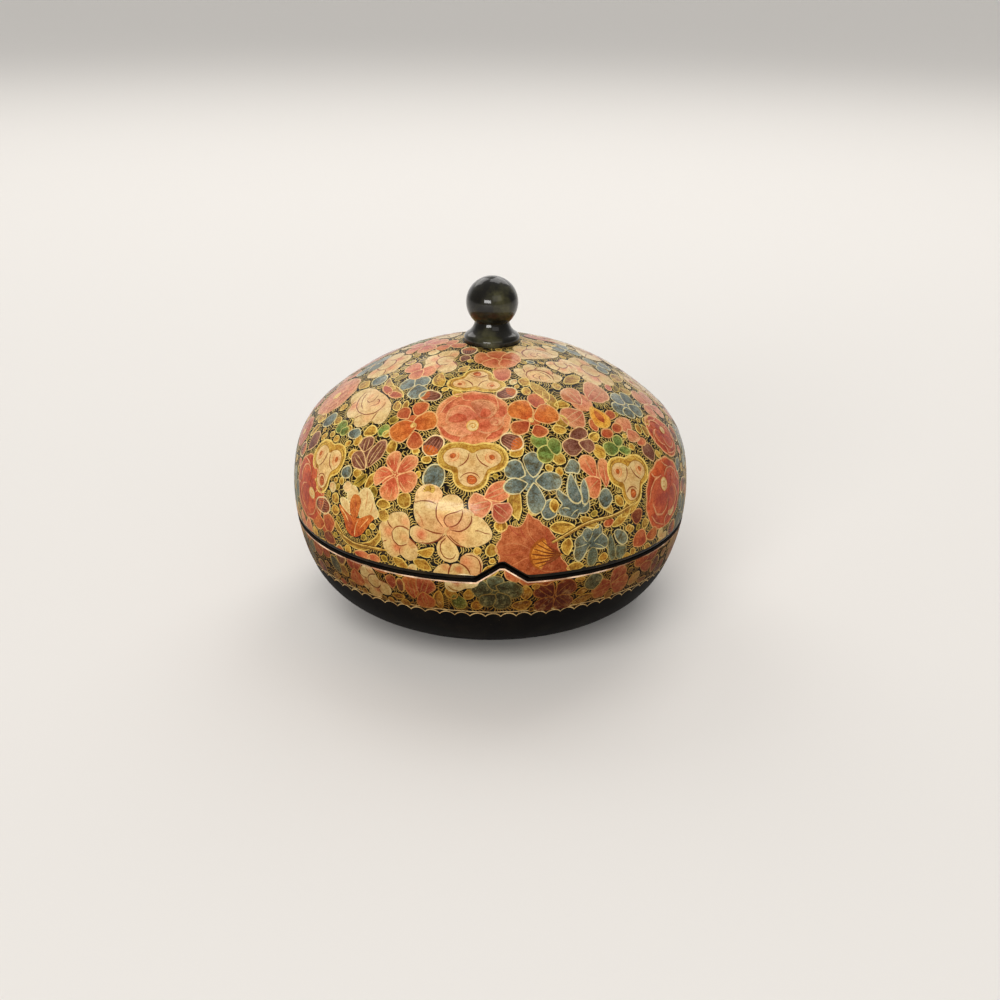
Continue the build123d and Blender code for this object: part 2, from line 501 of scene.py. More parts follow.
def outlineRing(points, count):
    # a free outline, rounded through given points
    rim = thinOut(np.array([*points, points[0]], float), brush["rimStep"])[:-1]
    for _ in range(brush["rimRounds"]):
        rim = (np.roll(rim, 1, 0) + 2 * rim + np.roll(rim, -1, 0)) / 4
    if areaOf(rim) < 0:
        rim = rim[::-1]
    place = np.linspace(0, len(rim), count, endpoint=False)
    return sampled(np.concatenate([rim, rim[:1]]), range(len(rim) + 1), place)


def wander(count, size):
    # a smooth closed wobble about 1
    phase = np.linspace(0, tau, count, endpoint=False)
    total = np.zeros(count)
    for k in range(2, 6):
        total += np.sin(k * phase + dice.uniform(0, tau)) * dice.normal(0, 1.0 / k)
    return (1 + size * total)[:, None]


def ringPoints(long, wide, lobes, depth, offset=0.0):
    # a lobed ring, a little uneven
    count, meanBulge, uneven = 48, 0.64, 0.03
    phase = np.linspace(0, tau, count, endpoint=False)
    bulge = 1 + depth * (np.abs(np.cos(lobes * phase / 2 + offset)) - meanBulge)
    return circle(count) * (long / 2, wide / 2) * bulge[:, None] * wander(count, uneven)


def stroke(anchor, line, width, tint, layer, family="line", closed=False, taper=False, step=brush["step"]):
    # a brush line as a ribbon that swells and thins a little
    if closed:
        line = np.concatenate([line, line[:1]])
    line = thinOut(line, step)
    ahead = np.gradient(line, axis=0)
    if closed:
        ahead[0] = ahead[-1] = line[1] - line[-2]
    ahead /= np.hypot(*ahead.T)[:, None].clip(1e-6)
    side = np.stack([-ahead[:, 1], ahead[:, 0]], 1)
    wave = np.sin(np.linspace(0, brush["swells"], len(line)) + dice.uniform(0, tau))
    half = width / 2 * (1 + brush["swell"] * wave)
    if taper:
        start, end = brush["taper"]
        thinning = brush["fullest"] * np.sin(np.linspace(start, math.pi - end, len(line)))
        half = half * thinning.clip(brush["thinnest"], 1)
    if closed:
        half[-1] = half[0]
    flat = np.stack([line - side * half[:, None], line + side * half[:, None]], 1).reshape(-1, 2)
    lay(anchor, flat, gridFaces(len(line), 2), tint * dice.uniform(*brush["tone"]), family, layer)


# each colour: its family of paint, then the root, middle and tip of a petal and the line round it
paintParts = ("family", "root", "mid", "tip", "line")
palette = {name: dict(zip(paintParts, row)) for name, row in {
    "coral": ("coral", (190, 80, 54), (209, 118, 83), (225, 154, 105), (231, 176, 126)),
    "poppy": ("coral", (157, 72, 45), (176, 93, 57), (189, 108, 69), (227, 172, 125)),
    "deep": ("coral", (186, 78, 50), (196, 92, 62), (206, 108, 76), (230, 160, 120)),
    # the next two rows are darker copies of the coral paints: painted shade for the roses at the left and
    # right edges
    "shadedCoral": ("coral", (174, 57, 24), (200, 82, 38), (213, 104, 56), (236, 176, 122)),
    "shadedDeep": ("coral", (151, 41, 18), (172, 58, 24), (188, 74, 36), (224, 150, 110)),
    "rose": ("coral", (159, 57, 43), (186, 91, 72), (205, 128, 101), (227, 174, 137)),
    "pink": ("coral", (196, 102, 77), (212, 133, 99), (223, 160, 117), (229, 185, 142)),
    "brick": ("ember", (101, 34, 11), (127, 57, 25), (145, 76, 36), (198, 141, 85)),
    "red": ("ember", (171, 63, 29), (186, 90, 51), (197, 111, 61), (229, 172, 116)),
    "orange": ("ember", (188, 76, 28), (203, 110, 46), (209, 126, 58), (231, 179, 120)),
    "flame": ("ember", (236, 190, 76), (238, 160, 51), (240, 190, 92), (229, 179, 94)),
    "cream": ("cream", (220, 157, 111), (225, 196, 140), (228, 203, 152), (237, 223, 170)),
    "ivory": ("cream", (250, 226, 196), (255, 252, 238), (255, 255, 248), (240, 214, 160)),
    "blush": ("cream", (212, 124, 88), (225, 177, 130), (230, 199, 148), (235, 217, 165)),
    "slate": ("slate", (78, 94, 98), (106, 122, 124), (138, 149, 137), (214, 206, 164)),
    "steel": ("slate", (74, 88, 84), (94, 109, 102), (115, 126, 109), (166, 162, 123)),
    "mauve": ("slate", (107, 57, 48), (128, 80, 68), (147, 101, 82), (224, 185, 135)),
    "green": ("leaf", (76, 105, 46), (112, 142, 70), (152, 166, 90), (198, 195, 116)),
    "ochre": ("leaf", (150, 113, 35), (200, 158, 64), (214, 180, 90), (234, 206, 118)),
    "olive": ("leaf", (111, 93, 25), (150, 128, 42), (173, 149, 58), (204, 176, 83)),
}.items()}
lineGold = linear((222, 196, 118))
lineDark = linear((46, 34, 14))
petalForms = {        # by family: how much a petal grows to meet its neighbours, and its form
    "coral": (1.08, dict(egg=0.34, point=(0.55, 0), notch=0.13)),
    "ember": (1.06, dict(egg=0.26, point=(0.4, 0), notch=0.08)),
    "slate": (1.05, dict(egg=0.24, point=(0.5, 0.12), notch=0)),
    "cream": (1.05, dict(egg=0.24, point=(0.25, 0), notch=0.05)),
    "leaf": (1, dict(egg=0.1, point=(0.4, 0.25), notch=0)),
}


petalLook = dict(
    rootOver=0.5, tipFrom=0.55, tipOver=0.45, paleSides=0.35,        # where the root's and tip's colours lie
    variety=(0.9, 1.07), leafVariety=(0.76, 1.14), uneven=0.04,
    slow=(0.075, 4.4), quick=(0.04, 9), sway=0.035,        # the waves in its rim, as (size, pace)
    bendFrom=0.4, veinSpread=0.8, veinEnds=(-0.75, 0.72), veinTone=0.8, heart=0.62,
)


def tintOf(paint, part):
    return linear(palette[paint][part])


def petalTint(paint, along, across, depth=1.0):
    root, mid, tip = [tintOf(paint, part) for part in ("root", "mid", "tip")]
    look = petalLook
    near = (1 - along / look["rootOver"]).clip(0, 1)[:, None] * depth
    far = ((along - look["tipFrom"]) / look["tipOver"]).clip(0, 1)[:, None]
    tint = mid + (root - mid) * near + (tip - mid) * far * (1 - near)
    tint = tint + (tip - tint) * (np.abs(across) ** 3)[:, None] * look["paleSides"]
    variety = look["leafVariety"] if palette[paint]["family"] == "leaf" else look["variety"]
    return tint * dice.uniform(*variety) * (1 + dice.normal(0, look["uneven"], (len(along), 1)))


def petalGrid(long, wide, egg, point, bend, fine=brush["petalStep"], wobble=(0, 0, 0, 0), notch=0):
    # rows from root (-1) to tip (+1), columns from side to side
    rows = max(7, int(long / fine) + 4)
    columns = max(5, int(wide / fine) + 2)
    x = -np.cos(np.linspace(0, math.pi, rows))
    half = np.sqrt((1 - x ** 2).clip(0.0004)) * (1 + egg * x)
    half *= (np.abs(1 - x ** 2) ** np.where(x > 0, point[1] / 2, point[0] / 2)).clip(0.02)
    across = np.linspace(-1, 1, columns)
    (slowSize, slowPace), (quickSize, quickPace) = petalLook["slow"], petalLook["quick"]
    left, right = [1 + slowSize * np.sin(x * slowPace + slow) + quickSize * np.sin(x * quickPace + quick)
                   for slow, quick in (wobble[:2], wobble[2:])]
    side = np.where(across[None] > 0, right[:, None], left[:, None])
    dip = notch * ((x + 1) / 2)[:, None] ** 3 * (1 - np.abs(across[None]) ** 1.3)
    sway = petalLook["sway"] * np.sin(across[None] * 3 + wobble[0])
    u = ((x[:, None] - dip + sway) * long / 2).ravel()
    bow = bend * (x ** 2 - petalLook["bendFrom"])
    v = (half[:, None] * side * across * wide / 2).ravel() + np.repeat(bow, columns)
    return np.stack([u, v], 1), rows, columns, np.repeat((x + 1) / 2, columns), np.tile(across, rows)


def rimOf(flat, rows, columns):
    grid = flat.reshape(rows, columns, 2)
    return np.concatenate([grid[:, 0], grid[::-1, -1]])


def lengthwise(long, aside, bend, start, end, count=7):
    # a line along a petal, aside by so many mm at its middle
    t = np.linspace(start, end, count)
    bow = bend * (t ** 2 - petalLook["bendFrom"])
    return np.stack([t * long / 2, aside * np.sqrt(1 - t ** 2) + bow], 1)


def petal(anchor, at, long, wide, lean, paint, layer, egg=0.18, point=(0.3, 0.0), bend=0.0,
          line=0.36, lineTint=None, veins=0, depth=1.0, comb=True, notch=0.0):
    form = dict(egg=egg, point=point, bend=bend, wobble=tuple(dice.uniform(0, tau, 4)), notch=notch)
    flat, rows, columns, along, across = petalGrid(long, wide, **form)
    flat = turned(flat, lean) + at
    tints = petalTint(paint, along, across, depth)
    lay(anchor, flat, gridFaces(rows, columns), tints, palette[paint]["family"], layer)
    rim = rimOf(flat, rows, columns)
    inner = [(rim - at) * share + at for share in (1.0, 0.93, 0.8, 0.6, 0.4, 0.15)]
    dense = petalGrid(long, wide, fine=brush["mapStep"], **form)[0]
    mark(anchor, np.concatenate([*inner, turned(dense, lean) + at]))
    if comb:
        outlines.append((anchor, rim))
    tint = tintOf(paint, "line") if lineTint is None else lineTint
    if line:
        stroke(anchor, rim, line, tint, layer + 0.5, closed=True)
    for k in range(veins):
        share = (k + 1) / (veins + 1) * 2 - 1
        vein = lengthwise(long, share * petalLook["veinSpread"] * wide / 2, bend, *petalLook["veinEnds"])
        stroke(anchor, turned(vein, lean) + at, brush["vein"], tint * petalLook["veinTone"], layer + 0.5,
               taper=True)


def dot(anchor, at, size, tint, layer, family, ring=False):
    rim = circle(12) * size / 2 * wander(12, 0.08) + at
    lay(anchor, np.concatenate([[at], rim]), fanFaces(12), linear(tint), family, layer)
    if ring:
        stroke(anchor, rim, 0.3, lineGold, layer + 0.5, closed=True, step=0.5)


def blob(anchor, at, ring, paint, layer, line=0.42, comb=True):
    # a lobed patch, filled from its middle
    reach = float(np.hypot(*ring.T).max())
    shares = np.linspace(0, 1, max(2, int(reach / brush["petalStep"])) + 1)[1:]
    count = len(ring)
    flat = np.concatenate([[(0.0, 0.0)], *[ring * share for share in shares]]) + at
    away = np.concatenate([[0.0], np.repeat(shares, count)])
    tints = petalTint(paint, away, 0 * away, 0.6)
    bands = np.concatenate([bandFaces(1 + k * count, count) for k in range(len(shares) - 1)])
    for faces in (fanFaces(count), bands):
        lay(anchor, flat, faces, tints, palette[paint]["family"], layer)
    dense = np.linspace(0.05, 1, max(4, int(reach / brush["mapStep"])))
    mark(anchor, np.concatenate([ring * share for share in dense]) + at)
    if comb:
        outlines.append((anchor, ring + at))
    if line:
        stroke(anchor, ring + at, line, tintOf(paint, "line"), layer + 0.5, closed=True)


def flower(anchor, paint, petals, spin=0.0, eye=None, veins=0):
    # petals as (x, y, long, wide[, lean[, paint]]); without a lean they point away from the middle
    middle = np.mean([each[:2] for each in petals], axis=0)
    if len(petals) > 2:        # a patch of the same paint closes the gaps at the roots
        away = [math.hypot(*(np.array(each[:2]) - middle)) for each in petals]
        heart = float(np.mean(away)) * 2 * petalLook["heart"]
        at = turned(middle[None], spin)[0]
        blob(anchor, at, ringPoints(heart, heart, 3, 0.02), paint, -0.4, line=0, comb=False)
    for number, (x, y, long, wide, *rest) in enumerate(petals):
        lean, own = (*rest, None, None)[:2]
        lean = math.degrees(math.atan2(y, x)) if lean is None else lean
        own = own or paint
        grown, form = petalForms[palette[own]["family"]]
        if len(petals) < 3:
            grown = 1
        at = turned(np.array([[x, y]]), spin)[0]
        petal(anchor, at, long * grown, wide * grown, lean + spin, own, number, veins=veins, **form)
    if eye:
        dot(anchor, (0, 0), 1.5, eye, len(petals), palette[paint]["family"], ring=True)


# a medallion rose: a scalloped ring, two rings of petals turned against each other, and a curled eye
roseLook = dict(
    size=0.98, lobes=8, lobeDepth=0.10, edge=0.5,
    rings=((0.69, 8, 0.78, 0.50, 0), (0.36, 5, 0.80, 0.44, 24)),        # place, count, wide, long, turn
    long=1.15, broad=1.5, uneven=4,
    heart=3, heartTurn=70, heartAway=0.15, heartLong=0.34, heartBroad=0.30, heartLine=0.32,
    eye=(236, 190, 104), eyeSize=0.36,
    curl=(246, 222, 140), curlWidth=0.38, curlFrom=0.15, curlTurn=11, curlSize=0.56,
)


def rose(anchor, wide, high, spin, eye, paint):
    look = roseLook
    half = np.array([wide, high]) / 2
    ring = ringPoints(wide * look["size"], high * look["size"], look["lobes"], look["lobeDepth"],
                      offset=math.radians(spin))
    blob(anchor, (0, 0), ring, paint, 0, line=look["edge"])
    layer = 1
    centre = np.array(eye) * half
    edge = dict(comb=False, lineTint=tintOf(paint, "tip"))
    for share, count, broad, deep, turn in look["rings"]:
        for k in range(count):
            angle = math.radians(360 / count * k + spin + turn + dice.normal(0, look["uneven"]))
            away = np.array([math.cos(angle), math.sin(angle)])
            place = centre * (1 - share) + away * half * share
            reach = float(np.hypot(*(away * half)))
            around = tau * reach * share / count
            petal(anchor, place, reach * deep * look["long"], around * broad * look["broad"],
                  math.degrees(angle), paint, layer + k % 2, egg=0.30, point=(0.1, 0.0), **edge)
        layer += 2
    for k in range(look["heart"]):
        angle = math.radians(360 / look["heart"] * k + spin + look["heartTurn"])
        place = centre + np.array([math.cos(angle), math.sin(angle)]) * half * look["heartAway"]
        petal(anchor, place, half[0] * look["heartLong"], half[1] * look["heartBroad"], math.degrees(angle),
              paint, layer, line=look["heartLine"], **edge)
    size = float(half.min()) * look["eyeSize"]
    dot(anchor, centre, size, look["eye"], layer + 1, "coral")
    t = np.linspace(look["curlFrom"], 1, 26)
    angle = t * look["curlTurn"]
    curl = np.stack([np.cos(angle) * t, np.sin(angle) * t], 1) * size * look["curlSize"] + centre
    stroke(anchor, curl, look["curlWidth"], linear(look["curl"]), layer + 1.5, step=0.35)


def gridWithin(rim, step, jitter=0.0):
    # points a step apart inside a closed outline
    spans = [np.arange(low, high, step) for low, high in zip(rim.min(0), rim.max(0))]
    points = np.stack(np.meshgrid(*spans), -1).reshape(-1, 2)
    if jitter:
        points = points + dice.normal(0, jitter, points.shape)
    hit = np.zeros(len(points), bool)
    for (x0, y0), (x1, y1) in zip(rim, np.roll(rim, -1, 0)):
        if y0 != y1:
            cross = (y0 > points[:, 1]) != (y1 > points[:, 1])
            hit ^= cross & (points[:, 0] < (x1 - x0) * (points[:, 1] - y0) / (y1 - y0) + x0)
    return points[hit]


patchLook = dict(mapStep=0.28, jitter=0.05, clear=0.35, hairsFrom=0.7, hairEnd=(0.93, 0.07), hair=(0.35, 0.6),
                 hairBow=0.15, hairTone=0.85)


def patch(anchor, rim, paint, layer, root, stains, line=0.4, lineTint=None, depth=1.0, comb=True, hatch=0):
    # any closed outline, filled with points about 1 mm apart so that it lies on the curve of the shell
    look = patchLook
    mark(anchor, gridWithin(rim, look["mapStep"]))
    inner = gridWithin(rim, brush["patchStep"], look["jitter"])
    gap = np.hypot(*(inner[:, None] - rim[None]).transpose(2, 0, 1)).min(1)
    points = np.concatenate([rim, inner[gap > look["clear"]]])
    rimEdges = [(k, (k + 1) % len(rim)) for k in range(len(rim))]
    verts, _, faces, *_ = delaunay_2d_cdt([Vector(point) for point in points], rimEdges, [], 1, 1e-5)
    flat = np.array([tuple(vert) for vert in verts])
    away = np.hypot(*(flat - root).T)
    tints = petalTint(paint, away / away.max(), 0 * away, depth)
    for spot, reach, tint, share in stains:
        weight = share * np.exp(-(((flat - spot) ** 2).sum(1) / reach ** 2))[:, None]
        tints = tints * (1 - weight) + linear(tint) * weight
    lay(anchor, flat, np.array([tuple(face) for face in faces]), tints, palette[paint]["family"], layer)
    if comb:
        outlines.append((anchor, rim))
    far = rim[np.hypot(*(rim - root).T) > look["hairsFrom"] * away.max()]
    outer, inward = look["hairEnd"]
    for k in range(hatch):        # short light hairs that run in from the far edge
        end = far[int((k + 0.5) * len(far) / hatch)] * outer + root * inward
        start = end + (root - end) * dice.uniform(*look["hair"])
        hair = bowed([start, (start + end) / 2 + dice.normal(0, look["hairBow"], 2), end])
        stroke(anchor, hair, brush["hair"], tintOf(paint, "line") * look["hairTone"], layer + 0.4, taper=True)
    if line:
        tint = tintOf(paint, "line") if lineTint is None else linear(lineTint)
        stroke(anchor, rim, line, tint, layer + 0.5, closed=True)


# an ochre half-round with dark ribs that run to its point
fanLook = dict(arc=(105, 255), reach=0.62, hub=0.1, fill=(222, 150, 60), edge=(176, 96, 30), edgeWidth=0.7,
               ribs=(128, 62, 20), ribWidth=0.42, ribFrom=0.08, ribTo=0.93, ribBow=0.05)


def fan(anchor, at, size, lean, layer):
    look, count = fanLook, 15
    phase = np.radians(np.linspace(*look["arc"], count))
    reach, bend = look["reach"], look["ribBow"]
    arc = np.stack([np.cos(phase), np.sin(phase)], 1) * size * reach
    rim = turned(np.concatenate([arc, [(size * reach, 0.0)]]), lean) + at
    hub = turned(np.array([[size * look["hub"], 0.0]]), lean)[0] + at
    flat = np.concatenate([[hub], (rim - hub) * 0.5 + hub, rim])
    for faces in (fanFaces(count + 1), bandFaces(1, count + 1)):
        lay(anchor, flat, faces, linear(look["fill"]), "ember", layer)
    stroke(anchor, rim[:count], look["edgeWidth"], linear(look["edge"]), layer + 0.5)
    for k in range(1, count - 1, 2):
        start = rim[k] + (hub - rim[k]) * look["ribFrom"]
        end = rim[count]
        bow = (start + end) / 2 + (end - start)[::-1] * (bend, -bend)
        rib = bowed([start, bow, start + (end - start) * look["ribTo"]])
        stroke(anchor, rib, look["ribWidth"], linear(look["ribs"]), layer + 0.6, taper=True)


def drawn(anchor, motif, size=1.0, spin=0.0, mirror=1, squeeze=1.0, swap=None, lift=0):
    # a motif given as free outlines and lines, in millimetres about its middle
    def placed(points):
        return turned(np.array(points, float) * (size * mirror, size * squeeze), spin)

    root = placed([motif.get("root", (0, 0))])[0]
    for number, (paint, how, points, *stains) in enumerate(motif["parts"]):
        spots = [(placed([(x, y)])[0], reach * size, tint, share) for x, y, reach, tint, share in stains]
        rim = outlineRing(placed(points), max(24, len(points) * 5))
        patch(anchor, rim, (swap or {}).get(paint, paint), lift + number * 0.8, root, spots, **how)
    top = lift + len(motif["parts"]) * 0.8
    for tint, width, *curves in motif["lines"]:
        for points in curves:
            stroke(anchor, bowed(placed(points)), width, linear(tint), top, taper=True, step=0.6)
    if "fan" in motif:
        x, y, across, lean = motif["fan"]
        lean = lean if mirror > 0 else 180 - lean
        fan(anchor, placed([(x, y)])[0], across * size, spin + lean, top + 2)


# a leaf may have a darker brush stroke down one side and a midrib
leafLook = dict(egg=-0.1, line=0.34, depth=0.7, darkOver=3.0, darkShare=0.6, darkAside=0.26, darkEnd=0.72,
                darkWidth=0.24, darkTone=1.15, ribEnds=(-0.8, 0.75), ribTone=1.6)


def leaf(anchor, at, long, wide, lean, paint="ochre", bend=0.0, vein=False, point=(0.5, 0.9)):
    look = leafLook
    petal(anchor, at, long, wide, lean, paint, 0, egg=look["egg"], point=point, bend=bend, line=look["line"],
          depth=look["depth"])
    if long > look["darkOver"] and dice.random() < look["darkShare"]:
        aside, end = look["darkAside"], look["darkEnd"]
        dark = lengthwise(long, dice.choice((-aside, aside)) * wide, bend, -end, end)
        tint = tintOf(paint, "root") * look["darkTone"]
        stroke(anchor, turned(dark, lean) + at, wide * look["darkWidth"], tint, 0.3, "leaf", taper=True)
    if vein:
        middle = lengthwise(long, 0, bend, *look["ribEnds"])
        tint = lineDark * look["ribTone"]
        stroke(anchor, turned(middle, lean) + at, brush["midrib"], tint, 0.5, taper=True)


# a bud in two colours under fine stripes, with a cream outline
ovalLook = dict(first="mauve", split=0.45, broad=0.86, away=0.24, edge=(238, 214, 168), edgeWidth=0.45,
                stripes=(172, 116, 96))


def stripedOval(anchor, long, wide, lean, second="orange", flip=False):
    petal(anchor, (0, 0), long, wide, lean, ovalLook["first"], 0, egg=0.0, point=(0.0, 0.0), line=0)
    angle = math.radians(lean + (180 if flip else 0))
    away = np.array([math.cos(angle), math.sin(angle)]) * long * ovalLook["away"]
    petal(anchor, away, long * ovalLook["split"], wide * ovalLook["broad"], math.degrees(angle), second, 1,
          egg=-0.1, line=0, comb=False)
    ring = rimOf(*petalGrid(long, wide, 0.0, (0, 0), 0)[:3])
    stroke(anchor, turned(ring, lean), ovalLook["edgeWidth"], linear(ovalLook["edge"]), 2.5, closed=True)
    for k in range(1, 6):
        stripe = lengthwise(long, (k / 3 - 1) * wide / 2, 0, -0.7, 0.7, 6)
        stroke(anchor, turned(stripe, lean), brush["hair"], linear(ovalLook["stripes"]), 2, taper=True)


# a branch, lit on one side between dark edges: lines as (place across, tint)
stemLook = dict(width=1.1, lines=((-0.5, (96, 62, 22)), (-0.16, (132, 92, 34)), (0.2, (238, 212, 138)),
                                  (0.5, (96, 62, 22))))


def stem(points):
    # through places given as (turn, rise)
    width = stemLook["width"]
    anchor = points[len(points) // 2]
    scale = float(sectionAt(anchor[1])[0]) * math.pi / 180
    flat = np.array([((turn - anchor[0]) * scale, rise - anchor[1]) for turn, rise in points])
    line = smoothed(sampled(flat, range(len(flat)), np.linspace(0, len(flat) - 1, 24)), 3)
    side = np.gradient(line, axis=0)[:, ::-1] * (-1, 1)
    side /= np.hypot(*side.T)[:, None].clip(1e-6)
    stroke(anchor, line, width, tintOf("ochre", "tip") * 1.1, 5, "leaf", taper=True)
    for away, tint in stemLook["lines"]:
        stroke(anchor, line + side * away * width, brush["hair"], linear(tint), 5.6, taper=True)
    mark(anchor, thinOut(line, brush["mapStep"]))


print("painting tools ready")

# the painting at the front, flower by flower: places as (turn in degrees, rise in mm)
# roses as (place, wide, high, spin, eye, paint)
roses = [
    ((-84, 34.5), 17, 17, 12, (0, 0), "pink"),
    ((-84, 19), 12, 10, 0, (0.1, 0), "rose"),
]
# flowers as (place, paint, petals as (x, y, long, wide, lean, own paint), more)
flowers = [
    ((8.7, 21.6), "slate", [(0.8, 4.3, 7.4, 5.4, 82), (-4.8, 3, 6, 5.6, 146), (-5.3, -1.8, 6.8, 4.4, 188),
     (0.3, -6, 9.2, 5, -88), (4.7, -1, 7.6, 5.4, -4)]),
    ((-1.2, -13.4), "steel", [(-4.6, 1.4, 6, 5.6, 170), (-0.6, 3.6, 5, 5, 90), (3.6, 1.2, 8, 5.6, -22),
     (1.2, -2.6, 6.4, 5.6, -70), (-2.6, -2.4, 5.4, 4.6, 225)]),
    ((-45, 51), "slate", [(-3, 0.4, 5, 5.6, 176), (0.6, 3, 5, 5.2, 84), (2.6, -1.4, 6.4, 5.6, -52)]),
    ((59.5, 38), "slate", [(-4, 0.2, 5.4, 5, 180), (-0.2, 2.8, 5, 5.4, 92), (3.8, 1.4, 5.4, 5, 20),
     (2.4, -3, 5.6, 5, -60), (-2, -2.6, 4.4, 4.4, 230)]),
    ((-3.2, 15.3), "pink", [(-3, -1.2, 6.2, 6.6, 196, "pink"), (2, 2.8, 7.6, 5, 24, "coral"),
     (3, -2.8, 5.6, 5.6, -40, "rose")], dict(veins=2)),
    ((28.6, 18.9), "coral", [(-1.8, 4.2, 6.8, 4.8, 104), (-2.4, -1.4, 6.2, 6, 210), (2.6, 1.4, 8, 3.4, 82)],
     dict(veins=1)),
    ((37.4, 43.5), "pink", [(-5.6, -3.2, 7.8, 7.6, 196), (-0.6, 4, 6.8, 6.4, 100),
     (8.4, 3.2, 9.4, 8.2, 24)], dict(veins=2)),
    ((49.5, 31), "pink", [(0, 1.4, 6, 6.6, 90), (0, -2.4, 4.8, 5.4, -90)]),
    ((3, 70.6), "coral", [(-4, 0.8, 5.6, 6.4, 172), (0.2, 2.4, 5, 6, 92), (4.2, 0.4, 5.6, 6.2, 8),
     (-1.8, -2.8, 5.4, 5.4, 250), (2.6, -2.8, 5, 5.2, -64)]),
    ((-52, 57.6), "coral", [(-3.6, 0.6, 5.6, 5, 175), (1.6, 1, 6, 5.2, 30), (0, -1.4, 5, 4.2, -90)]),
    ((-23, -14.6), "rose", [(-2.2, 1, 7.6, 4.8, 98, "coral"), (2, 1.8, 6.6, 5.4, 70, "rose"),
     (1.8, -3, 5.6, 5.4, -80, "coral")], dict(veins=2)),
    ((33.3, -15.4), "coral", [(-3.6, -0.8, 7, 6.4, 196), (1.6, 2, 7, 5.4, 60, "rose"),
     (3.4, -1.4, 6.8, 5.8, -16)], dict(veins=2)),
    ((15, -15.6), "brick", [(-3.2, 2.2, 6.4, 6, 140), (3, 2, 6.6, 6.2, 40), (-2.6, -2.8, 6, 5.6, 226),
     (2.6, -2.8, 6.2, 5.8, -46)], dict(veins=2)),
    ((-44.3, -13), "rose", [(0.4, 2.2, 5.6, 5.8, 90), (0.6, -2.2, 6, 5.6, -88, "coral")], dict(veins=1)),
    ((-31.2, -13.2), "rose", [(0, 0, 5, 3.4, 95)]),
    ((-34.5, -9.6), "coral", [(0, 0, 5.6, 2.2, 0)]),
    ((-32.5, 37), "red", [(-0.8, 6.2, 5.2, 4.8, 98), (-5, 3.6, 5, 4, 146),
     (2.8, 1.9, 7.4, 6.6, 36, "orange"), (-2.4, -2.2, 8.2, 7.2, 222, "orange"), (3, -5, 6.2, 4.4, -62)],
     dict(eye=(238, 200, 130))),
    ((12.3, 41.1), "red", [(3.6, 7.2, 5.6, 5.4, 66), (-1.9, 3.6, 7.6, 7.4, 118, "orange"),
     (4.8, 1.6, 7.8, 6.8, 20, "orange"), (-3.6, -2.2, 6.2, 4.6, 208), (1.6, -4.2, 4.4, 4.6, -70)],
     dict(eye=(238, 190, 120))),
    ((-53.6, -1.4), "red", [(0.4, 1, 6, 5.4, 80), (-5.6, 0, 7.4, 4.8, 184, "orange"),
     (0.4, -3.4, 4, 5.4, -90, "brick")]),
    ((42, -2.8), "red", [(0, 0, 6.8, 5.6, 150), (5.6, -0.2, 5.8, 4, 0, "orange")]),
    ((46.4, -11.6), "red", [(3.4, 0.8, 6, 3.8, 20), (-2.4, 0.8, 6.6, 4, 176, "orange"),
     (0.6, -2.4, 6.4, 3.6, -20, "orange")]),
    ((-59.5, -11.8), "orange", [(-1.8, 0, 6.4, 4.8, 190), (3.2, 0.6, 4.6, 4, 10, "red")]),
    ((-43.5, 24), "mauve", [(-2.2, 3.2, 5, 5, 110), (-1.6, -2.4, 7.4, 4.6, 150), (3, 1.4, 9.2, 4.6, 82)],
     dict(veins=2)),
    ((26.4, 31.3), "mauve", [(-2, -1, 6.6, 5.6, 190), (1.4, 2.8, 6.4, 4, 10), (2.5, -1.4, 5, 4.4, -30)]),
    ((52, 21.7), "mauve", [(0, 0, 6.2, 5.6, 90)]),
    ((-71, 20.4), "mauve", [(0, 0, 7, 5.6, 80)]),
    ((-31, 69.5), "mauve", [(0, 0, 4.2, 3.4, 90)]),
    ((40.3, 4.8), "brick", [(0, 0, 4.8, 4.6, 90)]),
    ((15.5, 31.3), "green", [(-2, 2.3, 5.4, 5.2, 130), (-1.3, -2.3, 6.2, 5.2, 250),
     (2.1, -0.2, 5.8, 4.2, 88)]),
    ((39.3, 27), "green", [(-1.8, 0, 5.6, 4.8, 170), (2.1, 1.7, 4.4, 3.6, 40), (2.7, -1.8, 4.8, 3, -20)]),
    ((-42.7, 33), "green", [(0, 0, 4.4, 3.8, 90)]),
    ((-61, 28.7), "green", [(-0.8, 0.4, 5, 4.6, 120), (2.2, -0.4, 3.8, 3.4, 0)]),
    ((-11.8, -17), "green", [(0, 0, 5.8, 4.6, -60)]),
]
